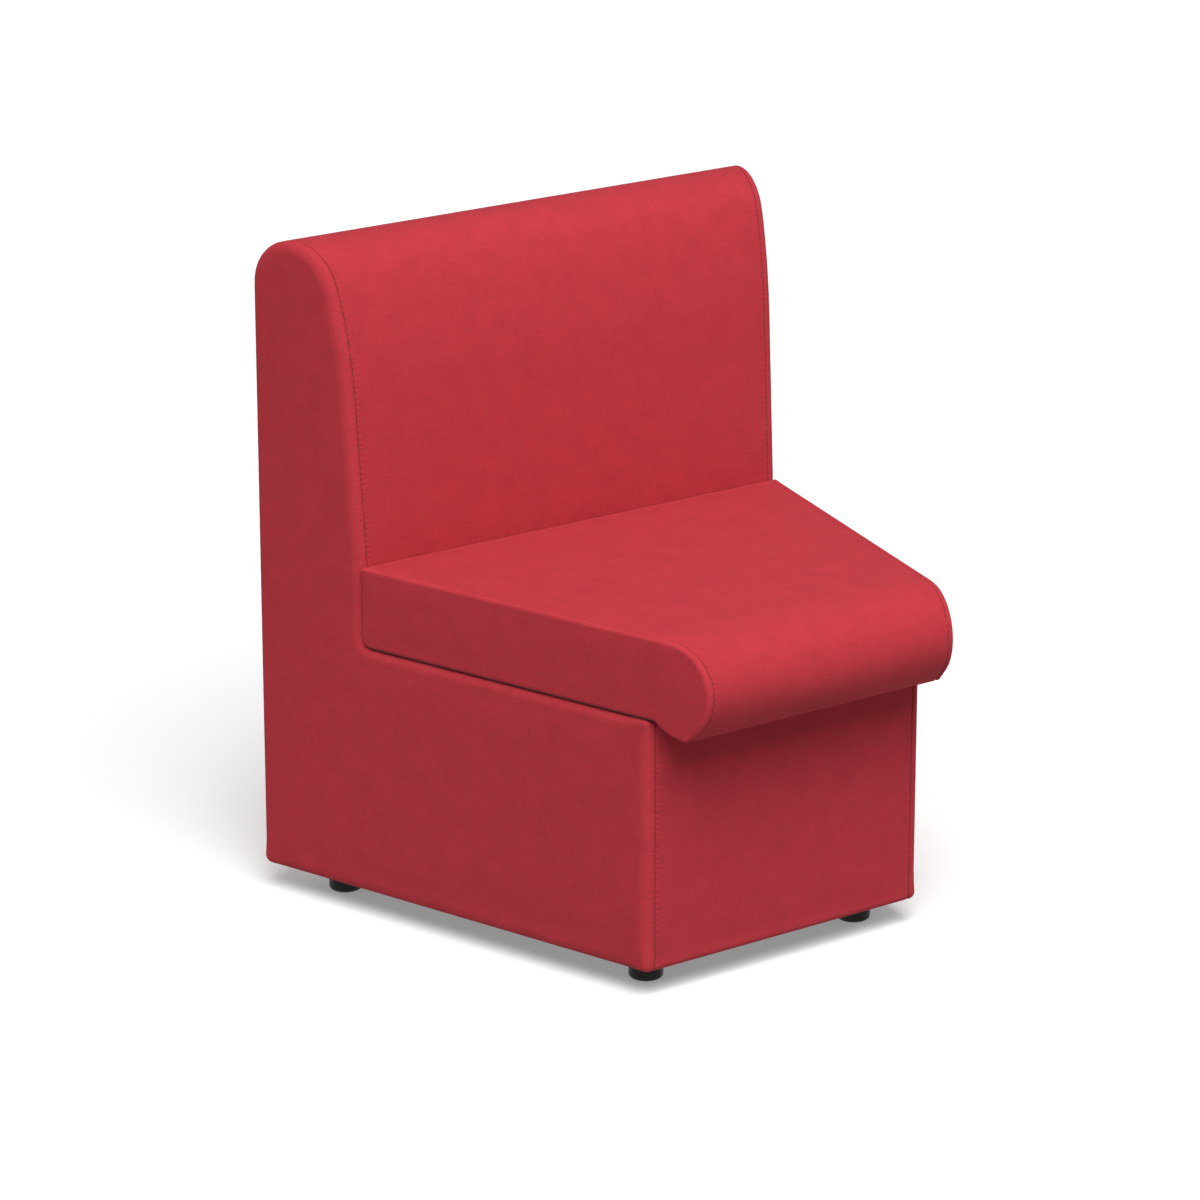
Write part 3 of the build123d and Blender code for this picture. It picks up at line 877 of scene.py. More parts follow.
def face_outward(piece: bpy.types.Object, away_from: Vector) -> None:
    """Turn an open skin's faces so that most look away from a point.

    Args:
        piece: The skin.
        away_from: A point inside it.
    """
    looks = sum((face.center - away_from).dot(face.normal) * face.area for face in piece.data.polygons)
    if looks < 0:
        piece.data.flip_normals()


@dataclass(frozen=True)
class ClothPress:
    """Blows a skin up with a cloth simulation, as the foam inside presses on it."""

    pressure: float = 4.0
    swell: float = 2.5 * MILLIMETRE  # the most that the cloth moves
    stiffness: float = 12.0
    bending: float = 3.0
    mass: float = 0.2
    quality: int = 5
    frames: int = 20

    def press(self, piece: bpy.types.Object, freedom: np.ndarray) -> None:
        """Swell the piece in place.

        Args:
            piece: An open skin, its faces outward.
            freedom: How far each point may swell, 0 to 1.
        """
        rest, outward = read_points(piece.data), read_normals(piece.data)
        moved = self._simulate(piece, freedom)
        rise = np.maximum(((moved - rest) * outward).sum(axis=1), 0.0)
        capped = self.swell * (1 - np.exp(-rise / self.swell)) * np.array(freedom)
        write_points(piece.data, rest + outward * capped[:, None])

    def _simulate(self, piece: bpy.types.Object, freedom: np.ndarray) -> np.ndarray:
        """Run the cloth on a copy of the piece.

        Args:
            piece: The skin.
            freedom: Points with none are pinned.

        Returns:
            Where the points end.
        """
        trial = piece.copy()
        trial.data = piece.data.copy()
        bpy.context.scene.collection.objects.link(trial)
        pins = trial.vertex_groups.new(name="pins")
        for index in np.flatnonzero(np.array(freedom) < 0.5):
            pins.add([int(index)], 1.0, "REPLACE")
        cloth = trial.modifiers.new("press", "CLOTH")
        settings = cloth.settings
        settings.quality = self.quality
        settings.mass = self.mass
        settings.tension_stiffness = settings.compression_stiffness = self.stiffness
        settings.shear_stiffness = self.stiffness / 2
        settings.bending_stiffness = self.bending
        settings.vertex_group_mass = "pins"
        settings.use_pressure = True
        settings.uniform_pressure_force = self.pressure
        settings.effector_weights.gravity = 0.0
        cloth.collision_settings.use_collision = False
        cloth.point_cache.frame_start, cloth.point_cache.frame_end = 1, self.frames
        scene = bpy.context.scene
        for number in range(1, self.frames + 1):
            scene.frame_set(number)
        shape = trial.evaluated_get(bpy.context.evaluated_depsgraph_get()).to_mesh()
        moved = read_points(shape)
        scene.frame_set(1)
        mesh = trial.data
        bpy.data.objects.remove(trial)
        bpy.data.meshes.remove(mesh)
        return moved


def read_points(mesh: bpy.types.Mesh) -> np.ndarray:
    """Read a mesh's points.

    Args:
        mesh: The mesh.

    Returns:
        One row of x, y and z for each point.
    """
    flat = np.zeros(len(mesh.vertices) * 3, np.float32)
    mesh.vertices.foreach_get("co", flat)
    return flat.reshape(-1, 3).astype(float)


def read_normals(mesh: bpy.types.Mesh) -> np.ndarray:
    """Read a mesh's point normals.

    Args:
        mesh: The mesh.

    Returns:
        One row of x, y and z for each point.
    """
    flat = np.zeros(len(mesh.vertices) * 3, np.float32)
    mesh.vertices.foreach_get("normal", flat)
    return flat.reshape(-1, 3).astype(float)


def write_points(mesh: bpy.types.Mesh, points: np.ndarray) -> None:
    """Move a mesh's points.

    Args:
        mesh: The mesh.
        points: Their new places.
    """
    mesh.vertices.foreach_set("co", points.astype(np.float32).ravel())
    mesh.update()


@dataclass(frozen=True)
class Tailor:
    """Cuts and fits the cloth and foam pieces over an outline."""

    plan: SeatPlan
    edge_radius: float  # how far the rounding reaches over a side's face
    edge_rise: float  # how far it reaches across, towards the seam
    seam_inset: float  # from the side's face to the seam
    tuck: float = 1.4 * MILLIMETRE  # how deep the cloth turns in at the seam
    seam_gap: float = 0.06 * MILLIMETRE  # between the two cloths at the bottom of the seam
    thickness: float = 0.9 * MILLIMETRE
    grid: float = 11 * MILLIMETRE
    easing: float = 16 * MILLIMETRE  # from a side's edge to where it swells freely
    rounding_steps: int = 7
    worn_radius: float = 30 * MILLIMETRE  # bends sharper than this show wear

    def side(
        self, name: str, hand: Hand, outline: Outline, press: ClothPress, still: list[StillZone]
    ) -> bpy.types.Object:
        """Cut a side panel that wraps round its edges as far as the seam.

        Args:
            name: The piece's name.
            hand: Which side.
            outline: The side's outline.
            press: How it swells.
            still: Where it can't.

        Returns:
            The finished cloth shell.
        """
        skin = Skin()
        radius = outline.rim_radius(self.edge_radius)
        seam = self.seam_inset - self.seam_gap / 2
        flat = [(seam - away + 0 * radius, share * self.tuck + 0 * radius) for away, share in SEAM_ROWS]
        arcs = [math.pi / 2 * step / self.rounding_steps for step in range(self.rounding_steps + 1)]
        rise = self.edge_rise
        flat += [(rise * (1 - math.sin(turn)) + 0 * radius, radius * (1 - math.cos(turn))) for turn in arcs]
        rings = []
        wears = [0.0] * len(SEAM_ROWS) + [math.sin(2 * turn) for turn in arcs]
        lengths = self._lengths(flat)
        for number, (inset, drop) in enumerate(flat):
            ring = outline.points - outline.outward * drop[:, None]
            spread = lengths[-1] - lengths[number]
            cloth = outline.points - outline.outward * (radius - spread)[:, None]
            places = self.plan.places(hand, ring[:, 0], ring[:, 1], inset)
            rings.append(skin.row(places, cloth, lengths[number], outline.run, wears[number], 0.0))
        for low, high in zip(rings, rings[1:]):
            skin.bridge(low, high, closed=True)
        edge = outline.points - outline.outward * radius[:, None]
        self._fill_face(skin, hand, edge, rings[-1], outline, float(lengths[-1].mean()))
        freedom = self._freedom(skin, still)
        piece = skin.object(name, RED_CLOTH.make())
        face_outward(piece, self._middle())
        press.press(piece, freedom)
        return self.thicken(piece)

    def side_foam(self, name: str, hand: Hand, outline: Outline, depth: float, gap: float) -> bpy.types.Object:
        """Cut the foam skin under a side panel, rounded as the panel is.

        Args:
            name: The piece's name.
            hand: Which side.
            outline: The side's outline.
            depth: Inset of the foam's back, against its board.
            gap: From the outside of the cloth to the foam.

        Returns:
            The closed foam block.
        """
        skin, rise = Skin(), self.edge_rise
        radius = outline.rim_radius(self.edge_radius)
        sides = [(depth, np.maximum(gap, 0 * radius))]
        for step in range(self.rounding_steps + 1):
            turn = math.pi / 2 * step / self.rounding_steps
            out = np.stack([radius * math.sin(turn), rise * math.cos(turn) + 0 * radius])
            out = gap * out / np.linalg.norm(out, axis=0)
            inset = np.minimum(rise * (1 - math.sin(turn)) + out[0], depth - 0.1 * MILLIMETRE)
            sides.append((inset, np.maximum(radius * (1 - math.cos(turn)) + out[1], gap)))
        rings = []
        for inset, drop in sides:
            ring = outline.points - outline.outward * drop[:, None]
            places = self.plan.places(hand, ring[:, 0], ring[:, 1], inset)
            rings.append(skin.row(places, ring, 0.0, outline.run, 0.0, 0.0))
        for low, high in zip(rings, rings[1:]):
            skin.bridge(low, high, closed=True)
        edge = outline.points - outline.outward * sides[-1][1][:, None]
        self._fill_face(skin, hand, edge, rings[-1], outline, 0.0, gap)
        back = skin.faces
        skin.faces = []
        edge = outline.points - outline.outward * sides[0][1][:, None]
        self._fill_face(skin, hand, edge, rings[0], outline, 0.0, depth)
        skin.faces = back + [face[::-1] for face in skin.faces]
        block = skin.object(name, CREAM_FOAM.make())
        work = bmesh.new()
        work.from_mesh(block.data)
        bmesh.ops.recalc_face_normals(work, faces=work.faces)
        work.to_mesh(block.data)
        work.free()
        return settle(block)

    @staticmethod
    def _lengths(flat: list[tuple[np.ndarray, np.ndarray]]) -> list[np.ndarray]:
        """Measure the cloth from its first row to each row.

        Args:
            flat: Each row's insets and drops below the outline.

        Returns:
            The distances over the cloth, row by row.
        """
        lengths = [0 * flat[0][0]]
        for (inset, drop), (next_inset, next_drop) in zip(flat, flat[1:]):
            lengths.append(lengths[-1] + np.hypot(inset - next_inset, drop - next_drop))
        return lengths

    def _middle(self) -> Vector:
        """A point inside the seat, level with its sides' middle."""
        return Vector((0.0, self.plan.rear_y - self.plan.base_depth / 2, self.plan.base_height / 2))

    def _fill_face(self, skin: Skin, hand: Hand, edge: np.ndarray, ring: range, outline: Outline,
                   reach: float, inset: float = 0.0) -> None:
        """Fill a side's flat face with even triangles.

        Args:
            skin: The skin to add to.
            hand: Which side.
            edge: The face's edge in the side view.
            ring: The edge's points in the skin.
            outline: The outline that the edge follows.
            reach: Distance over the cloth from the seam to the edge.
            inset: The face's inset.
        """
        inner = hex_points(edge, self.grid)
        apart = np.linalg.norm(inner[:, None, :] - edge[None, :, :], axis=2)
        nearest = apart.argmin(axis=1)
        places = self.plan.places(hand, inner[:, 0], inner[:, 1], inset)
        free = np.clip(apart.min(axis=1) / self.easing, 0, 1)
        numbers = skin.row(places, inner, reach + apart.min(axis=1), outline.run[nearest], 0.0, free)
        count = len(edge)
        loose = [Vector(point) for point in np.vstack([edge, inner])]
        filled = delaunay_2d_cdt(loose, [], [list(range(count))[::-1]], 1, WELD, True)
        known = [origin[0] if origin else None for origin in filled[3]]
        spots = np.array([tuple(spot) for spot in filled[0]])
        kept = inside(edge, np.array([spots[list(face)].mean(axis=0) for face in filled[2]]))
        for face in np.array(filled[2], dtype=object)[kept]:
            corners = [known[index] for index in face]
            if None not in corners:
                skin.faces.append(tuple(ring[c] if c < count else numbers[c - count] for c in corners[::-1]))

    def _freedom(self, skin: Skin, still: list[StillZone]) -> np.ndarray:
        """Say how free each of a skin's points is to swell.

        Args:
            skin: The skin.
            still: Zones where it can't.

        Returns:
            One number for each point, 0 to 1.
        """
        freedom, points = np.array(skin.freedom, float), np.array(skin.points)
        side_view = np.stack([self.plan.rear_y - points[:, 1], points[:, 2]], axis=1)
        for zone in still:
            freedom = freedom * zone.freedom(side_view)
        return freedom

    def run(self, name: str, stretch: Stretch, press: ClothPress, still: list[StillZone]) -> bpy.types.Object:
        """Cut a panel that runs along a stretch of outline, from seam to seam.

        Args:
            name: The piece's name.
            stretch: The run that it follows.
            press: How it swells.
            still: Where it can't.

        Returns:
            The finished cloth shell.
        """
        skin = Skin()
        seam = self.seam_inset + self.seam_gap / 2
        near = np.array([away for away, _ in SEAM_ROWS] + list(FACE_ROWS))
        drops = np.array([share for _, share in SEAM_ROWS] + [0.0] * len(FACE_ROWS)) * self.tuck
        depth, height = stretch.points[:, 0], stretch.points[:, 1]
        wear = np.clip(1 - stretch.bend / self.worn_radius, 0, 1)
        widest = float(self.plan.half_width(0.0, seam) - near[-1])
        middle = max(4, math.ceil(2 * widest / self.grid))
        shares = np.linspace(-1, 1, middle + 1)[1:-1]
        columns = [(Hand.LEFT, gap, drop) for gap, drop in zip(near, drops)]
        columns += [(None, share, 0.0) for share in shares]
        columns += [(Hand.RIGHT, gap, drop) for gap, drop in zip(near[::-1], drops[::-1])]
        numbers = []
        for hand, value, drop in columns:
            inner = self.plan.half_width(depth, seam) - near[-1]
            x = inner * value if hand is None else hand.value * (self.plan.half_width(depth, seam) - value)
            gap = self.plan.half_width(depth, seam) - np.abs(x)
            places = np.stack([x, self.plan.rear_y - depth + stretch.outward[:, 0] * drop,
                               height - stretch.outward[:, 1] * drop], axis=-1)
            free = np.clip((gap - SEAM_ROWS[-1][0]) / (FACE_ROWS[0] - SEAM_ROWS[-1][0]), 0, 1)
            cloth = np.stack([x, stretch.run], axis=-1)
            numbers.append(skin.row(places, cloth, gap, stretch.run, wear, free))
        for low, high in zip(numbers, numbers[1:]):
            skin.bridge(low, high, closed=False)
        freedom = self._freedom(skin, still)
        piece = skin.object(name, RED_CLOTH.make())
        self._face_along(piece, stretch)
        press.press(piece, freedom)
        return self.thicken(piece)

    def _face_along(self, piece: bpy.types.Object, stretch: Stretch) -> None:
        """Turn a running panel's faces to the stretch's outside.

        Args:
            piece: The panel.
            stretch: The run that it follows.
        """
        middle = len(stretch.points) // 2
        where = stretch.points[middle]
        spot = Vector((0.0, self.plan.rear_y - where[0], where[1]))
        outside = Vector((0.0, -stretch.outward[middle][0], stretch.outward[middle][1]))
        nearest = min(piece.data.polygons, key=lambda face: (face.center - spot).length_squared)
        if nearest.normal.dot(outside) < 0:
            piece.data.flip_normals()

    def thicken(self, piece: bpy.types.Object) -> bpy.types.Object:
        """Smooth a skin once and give it the cloth's thickness, inward.

        Args:
            piece: The open skin.

        Returns:
            The closed shell.
        """
        smooth = piece.modifiers.new("smooth", "SUBSURF")
        smooth.levels = smooth.render_levels = 1
        wall = piece.modifiers.new("wall", "SOLIDIFY")
        wall.thickness = self.thickness
        wall.offset = -1.0
        wall.use_even_offset = False
        return settle(piece)


def inside(edge: np.ndarray, spots: np.ndarray) -> np.ndarray:
    """Whether points are inside an outline.

    Args:
        edge: The outline's points, in order.
        spots: The points.

    Returns:
        True or False for each point.
    """
    start, end = edge, np.roll(edge, -1, axis=0)
    above = (start[None, :, 1] > spots[:, None, 1]) != (end[None, :, 1] > spots[:, None, 1])
    rise = np.where(end[:, 1] == start[:, 1], NEARLY_ZERO, end[:, 1] - start[:, 1])
    cross = start[:, 0] + (spots[:, None, 1] - start[:, 1]) * (end[:, 0] - start[:, 0]) / rise
    return (above & (spots[:, None, 0] < cross)).sum(axis=1) % 2 == 1


def hex_points(edge: np.ndarray, grid: float) -> np.ndarray:
    """Points in even triangles inside an outline.

    Args:
        edge: The outline's points, in order.
        grid: Distance between the points.

    Returns:
        The points that are clear of the outline.
    """
    low, high = edge.min(axis=0), edge.max(axis=0)
    lift = grid * math.sqrt(3) / 2
    rows = [
        [(x + (row % 2) * grid / 2, low[1] + row * lift) for x in np.arange(low[0], high[0], grid)]
        for row in range(int((high[1] - low[1]) / lift) + 1)
    ]
    spots = np.array([spot for row in rows for spot in row])
    clear = np.linalg.norm(spots[:, None, :] - edge[None, :, :], axis=2).min(axis=1) > 0.55 * grid
    return spots[inside(edge, spots) & clear]


# ---------------------------------------------------------------- what repeats
class Repeat:
    """A geometry tree with named sizes, run once on a piece and then made a plain mesh."""

    def __init__(self, name: str, **sizes: float) -> None:
        """Start the tree.

        Args:
            name: The tree's name.
            sizes: Its named inputs and their usual values.
        """
        self.group = bpy.data.node_groups.new(name, "GeometryNodeTree")
        self.tree = Tree(self.group)
        sockets = self.group.interface
        sockets.new_socket("Geometry", in_out="INPUT", socket_type="NodeSocketGeometry")
        for label, value in sizes.items():
            sockets.new_socket(label, in_out="INPUT", socket_type="NodeSocketFloat").default_value = value
        sockets.new_socket("Geometry", in_out="OUTPUT", socket_type="NodeSocketGeometry")
        self.inputs = self.tree.add("NodeGroupInput").outputs

    def finish(self, geometry: bpy.types.NodeSocket, material: bpy.types.Material) -> None:
        """Realize the instances, give them a finish and end the tree.

        Args:
            geometry: What the tree has made.
            material: The finish.
        """
        real = self.tree.add("GeometryNodeRealizeInstances", {0: geometry}).outputs[0]
        painted = self.tree.add("GeometryNodeSetMaterial", {"Geometry": real, "Material": material}).outputs[0]
        self.tree.add("NodeGroupOutput", {0: painted})

    def apply(self, piece: bpy.types.Object, smooth: bool = True, **sizes: float) -> bpy.types.Object:
        """Run the tree on a piece.

        Args:
            piece: The piece, whose mesh is the path or the start.
            smooth: Whether the result is shaded smooth.
            sizes: Sizes that differ from the usual ones.

        Returns:
            The piece as a plain mesh.
        """
        modifier = piece.modifiers.new(self.group.name, "NODES")
        modifier.node_group = self.group
        for item in self.group.interface.items_tree:
            if item.in_out == "INPUT" and item.name in sizes:
                modifier[item.identifier] = sizes[item.name]
        return settle(piece, smooth)


def seam_stitches() -> Repeat:
    """A tree that lays lock stitches across a seam.

    Returns:
        The tree. It reads the seam as a line whose points hold the direction across it.
    """
    made = Repeat("seam_stitches", Pitch=3.6 * MILLIMETRE, Length=1.7 * MILLIMETRE, Thread=0.5 * MILLIMETRE)
    tree, sizes = made.tree, made.inputs
    line = tree.add("GeometryNodeMeshToCurve", {0: sizes["Geometry"]}).outputs[0]
    points = tree.add("GeometryNodeResampleCurve", {"Curve": line, "Length": sizes["Pitch"]}, mode="LENGTH")
    across = tree.add("GeometryNodeInputNamedAttribute", {"Name": "across"}, data_type="FLOAT_VECTOR")
    turned = tree.add("FunctionNodeAlignRotationToVector", {"Vector": across.outputs[0]}, axis="Z")
    bead = tree.add("GeometryNodeMeshUVSphere", {"Segments": 6, "Rings": 5, "Radius": 0.5}).outputs[0]
    spread = tree.add("FunctionNodeRandomValue", {2: 0.88, 3: 1.12, "Seed": 11}, data_type="FLOAT").outputs[1]
    long = tree.math("MULTIPLY", sizes["Length"], spread)
    scale = tree.add("ShaderNodeCombineXYZ", {"X": sizes["Thread"], "Y": sizes["Thread"], "Z": long}).outputs[0]
    inputs = {"Points": points.outputs[0], "Instance": bead, "Rotation": turned.outputs[0], "Scale": scale}
    made.finish(tree.add("GeometryNodeInstanceOnPoints", inputs).outputs[0], RED_THREAD.make())
    return made


def staple_row() -> Repeat:
    """A tree that sets wire staples along a hem.

    Returns:
        The tree. It reads the hem as a line and sets the staples along it.
    """
    made = Repeat("staple_row", Pitch=38 * MILLIMETRE, Crown=10 * MILLIMETRE, Wire=0.8 * MILLIMETRE)
    tree, sizes = made.tree, made.inputs
    line = tree.add("GeometryNodeMeshToCurve", {0: sizes["Geometry"]}).outputs[0]
    points = tree.add("GeometryNodeResampleCurve", {"Curve": line, "Length": sizes["Pitch"]}, mode="LENGTH")
    along = tree.add("GeometryNodeInputTangent").outputs[0]
    turned = tree.add("FunctionNodeAlignRotationToVector", {"Vector": along}, axis="X", pivot_axis="Z")
    half = tree.math("MULTIPLY", sizes["Crown"], 0.5)
    ends = [tree.math("MULTIPLY", half, side) for side in (-1, 1)]
    places = [
        tree.add("ShaderNodeCombineXYZ", {"X": end, "Z": height}).outputs[0]
        for end, height in zip(ends * 2, (1.2 * MILLIMETRE,) * 2 + (-0.4 * MILLIMETRE,) * 2)
    ]
    wire = tree.add(
        "GeometryNodeCurvePrimitiveBezierSegment",
        {"Resolution": 8, "Start": places[0], "End": places[1], "Start Handle": places[2], "End Handle": places[3]},
    ).outputs[0]
    ring = tree.add("GeometryNodeCurvePrimitiveCircle", {"Resolution": 6}, mode="RADIUS")
    tree.tree.links.new(tree.math("MULTIPLY", sizes["Wire"], 0.5), ring.inputs["Radius"])
    inputs = {"Curve": wire, "Profile Curve": ring.outputs[0], "Fill Caps": True}
    swept = tree.add("GeometryNodeCurveToMesh", inputs)
    spread = tree.add("FunctionNodeRandomValue", {2: -0.12, 3: 0.12, "Seed": 5}, data_type="FLOAT").outputs[1]
    skew = tree.add("ShaderNodeCombineXYZ", {"Z": spread}).outputs[0]
    inputs = {0: turned.outputs[0], 1: skew}
    loose = tree.add("FunctionNodeRotateRotation", inputs, rotation_space="LOCAL").outputs[0]
    inputs = {"Points": points.outputs[0], "Instance": swept.outputs[0], "Rotation": loose}
    made.finish(tree.add("GeometryNodeInstanceOnPoints", inputs).outputs[0], PLATED_STEEL.make())
    return made


def screw_thread() -> Repeat:
    """A tree that winds a screw thread round a plain rod.

    Returns:
        The tree. It adds the thread to the geometry that it is given, standing on the start height.
    """
    made = Repeat(
        "screw_thread", Pitch=1.25 * MILLIMETRE, Turns=21.0, Root=3.4 * MILLIMETRE, Crest=3.97 * MILLIMETRE,
        CentreX=0.0, CentreY=0.0, Start=0.035,
    )
    tree, sizes = made.tree, made.inputs
    rise = tree.math("MULTIPLY", sizes["Pitch"], sizes["Turns"])
    ridge = tree.math("MULTIPLY_ADD", tree.math("SUBTRACT", sizes["Crest"], sizes["Root"]), 0.5, sizes["Root"])
    inputs = {"Resolution": 20, "Rotations": sizes["Turns"], "Height": rise}
    inputs |= {"Start Radius": ridge, "End Radius": ridge}
    helix = tree.add("GeometryNodeCurveSpiral", inputs).outputs[0]
    profile = tree.add("GeometryNodeCurvePrimitiveCircle", {"Resolution": 4}, mode="RADIUS")
    tall = tree.math("MULTIPLY", tree.math("SUBTRACT", sizes["Crest"], sizes["Root"]), 0.5)
    tree.tree.links.new(tall, profile.inputs["Radius"])
    inputs = {"Curve": helix, "Profile Curve": profile.outputs[0], "Fill Caps": True}
    swept = tree.add("GeometryNodeCurveToMesh", inputs).outputs[0]
    place = {"X": sizes["CentreX"], "Y": sizes["CentreY"], "Z": sizes["Start"]}
    inputs = {"Geometry": swept, "Translation": tree.add("ShaderNodeCombineXYZ", place).outputs[0]}
    moved = tree.add("GeometryNodeTransform", inputs).outputs[0]
    joined = tree.add("GeometryNodeJoinGeometry")
    tree.tree.links.new(moved, joined.inputs[0])
    tree.tree.links.new(sizes["Geometry"], joined.inputs[0])
    made.finish(joined.outputs[0], PLATED_STEEL.make())
    return made


def line_object(
    name: str, points: np.ndarray, across: np.ndarray | None = None, closed: bool = True
) -> bpy.types.Object:
    """Make a bare line for a tree to follow.

    Args:
        name: The line's name.
        points: Its points.
        across: A direction for each point, kept as the attribute "across".
        closed: Whether its ends join.

    Returns:
        The line.
    """
    mesh = bpy.data.meshes.new(name)
    edges = [(index, index + 1) for index in range(len(points) - 1)]
    mesh.from_pydata([tuple(point) for point in points], edges + [(len(points) - 1, 0)] * closed, [])
    if across is not None:
        mesh.attributes.new("across", "FLOAT_VECTOR", "POINT").data.foreach_set("vector", across.ravel())
    return link(name, mesh)


# ---------------------------------------------------------------- keeping the pieces
def keep(piece: bpy.types.Object, replaced: str = "", body: str = SEAT_BODY) -> bpy.types.Object:
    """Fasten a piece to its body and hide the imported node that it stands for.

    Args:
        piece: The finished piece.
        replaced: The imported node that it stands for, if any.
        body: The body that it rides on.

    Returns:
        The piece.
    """
    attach(piece, body)
    if replaced:
        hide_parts(replaced)
    LOG.info("%s: %d faces, on %s", piece.name, len(piece.data.polygons), body)
    return piece


def dress(node: str, finish: Finish) -> bpy.types.Object:
    """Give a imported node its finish.

    Args:
        node: The node's name.
        finish: Its finish.

    Returns:
        The node.
    """
    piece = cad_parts[node]
    for slot in piece.material_slots:
        slot.material = finish.make()
    LOG.info("%s: dressed in %s", node, finish.name)
    return piece


def soften(node: str, name: str, finish: Finish, rounding: float) -> bpy.types.Object:
    """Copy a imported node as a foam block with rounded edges.

    Args:
        node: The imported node.
        name: The block's name.
        finish: Its finish.
        rounding: How far its edges are rounded.

    Returns:
        The block.
    """
    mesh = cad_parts[node].data.copy()
    mesh.name = name
    mesh.materials.clear()
    mesh.materials.append(finish.make())
    work = bmesh.new()
    work.from_mesh(mesh)
    bmesh.ops.remove_doubles(work, verts=work.verts, dist=0.01 * MILLIMETRE)
    bmesh.ops.dissolve_limit(work, angle_limit=math.radians(2), verts=work.verts, edges=work.edges)
    work.to_mesh(mesh)
    work.free()
    block = link(name, mesh)
    bevel = block.modifiers.new("rounding", "BEVEL")
    bevel.width, bevel.segments, bevel.limit_method = rounding, 2, "ANGLE"
    bevel.angle_limit = math.radians(40)
    return settle(block)


# ---------------------------------------------------------------- sub-assemblies
@dataclass(frozen=True)
class UpholsteredBody:
    """The carcass's padding: two side pads, the cloth over the back, the front strip, and their foam."""

    plan: SeatPlan
    back_depth: float = 0.162
    back_rake: float = math.radians(4.3)
    shoulder_rake: float = math.radians(17.8)
    face_radius: float = 0.5637
    crown_front_radius: float = 0.0639
    crown_flat: float = 0.0024
    kink_radius: float = 0.020
    notch_radius: float = 0.012
    top_edge_radius: float = 0.008
    rear_foot_radius: float = 0.011
    front_foot_radius: float = 0.009
    edge_radius: float = 0.015
    edge_rise: float = 0.0088
    seam_inset: float = 0.012
    foam_gap: float = 0.0023
    foam_back: float = 0.010
    foam_rounding: float = 1.5 * MILLIMETRE
    lap: float = 0.012  # how far the back and front covers turn round the edges where they end
    still_inset: float = 0.012  # how far the cloth is held past the cushion's edges
    step: float = 0.010
    side_press: ClothPress = ClothPress(swell=1.6 * MILLIMETRE)
    back_press: ClothPress = ClothPress(swell=2.2 * MILLIMETRE)
    front_press: ClothPress = ClothPress(swell=1.5 * MILLIMETRE)

    def corners(self) -> list[Corner]:
        """The side-view outline's corners.

        Returns:
            The corners, clockwise from the rear foot.
        """
        top, rake, lean = self.plan.overall_height, self.back_rake, self.shoulder_rake
        large, small = self.face_radius, self.crown_front_radius
        bend_bottom = top - small * (1 - math.sin(lean)) - large * (math.sin(lean) - math.sin(rake))
        crown = self.back_depth - (bend_bottom - self.plan.seat_height) * math.tan(rake)
        crown -= large * (math.cos(rake) - math.cos(lean)) + small * math.cos(lean)
        front = crown + small * math.tan((math.pi / 2 - lean) / 2)
        reach = large * math.tan((lean - rake) / 2)
        bend_depth = crown + small * math.cos(lean) + reach * math.sin(lean)
        bend_height = top - small * (1 - math.sin(lean)) - reach * math.cos(lean)
        bottom, deck = self.plan.ground_gap, self.plan.base_height
        return [
            Corner(0.0, bottom, self.rear_foot_radius),
            Corner(0.0, top, crown - self.crown_flat),
            Corner(front, top, small),
            Corner(bend_depth, bend_height, large),
            Corner(self.back_depth, self.plan.seat_height, self.kink_radius),
            Corner(self.back_depth, deck, self.notch_radius),
            Corner(self.plan.base_depth, deck, self.top_edge_radius),
            Corner(self.plan.base_depth, bottom, self.front_foot_radius),
        ]

    def still(self) -> list[StillZone]:
        """Where the cloth can't swell: beside and under the cushion, and underneath.

        Returns:
            The two zones.
        """
        deck, bottom, inset = self.plan.base_height, self.plan.ground_gap, self.still_inset
        return [
            StillZone((self.back_depth - 0.004, PAST_FRONT), (deck - inset, self.plan.seat_height - inset), 0.02),
            StillZone((-0.01, PAST_FRONT), (bottom - 0.01, bottom + inset), 0.03),
        ]

    def build(self) -> None:
        """Make the pads, the covers, the foam and the stitches."""
        outline = Outline(self.corners(), self.step)
        tailor = Tailor(self.plan, self.edge_radius, self.edge_rise, self.seam_inset)
        still = self.still()
        for hand in Hand:
            name = f"side_cover_{hand.word}"
            pad = tailor.side(f"pad_cloth_{hand.word}", hand, outline, self.side_press, still)
            keep(pad, name)
            sew(f"pad_stitches_{hand.word}", self.plan, hand, outline, self.seam_inset)
            foam = tailor.side_foam(f"pad_foam_{hand.word}", hand, outline, self.foam_back, self.foam_gap)
            keep(foam, f"side_foam_{hand.word}")
        bottom, deck = self.plan.ground_gap, self.plan.base_height
        rear = outline.stretch((self.lap, bottom), (self.back_depth + self.lap, deck))
        cover = tailor.run("back_cloth", rear, self.back_press, still)
        keep(cover, "back_cover")
        edge = self.plan.base_depth - self.lap
        face = outline.stretch((edge, deck), (edge, bottom))
        strip = tailor.run("front_cloth", face, self.front_press, still)
        keep(strip, "front_cover")
        for block in ("back_foam", "rear_foam", "front_foam"):
            foam = soften(block, f"{block}_block", CREAM_FOAM, self.foam_rounding)
            keep(foam, block)


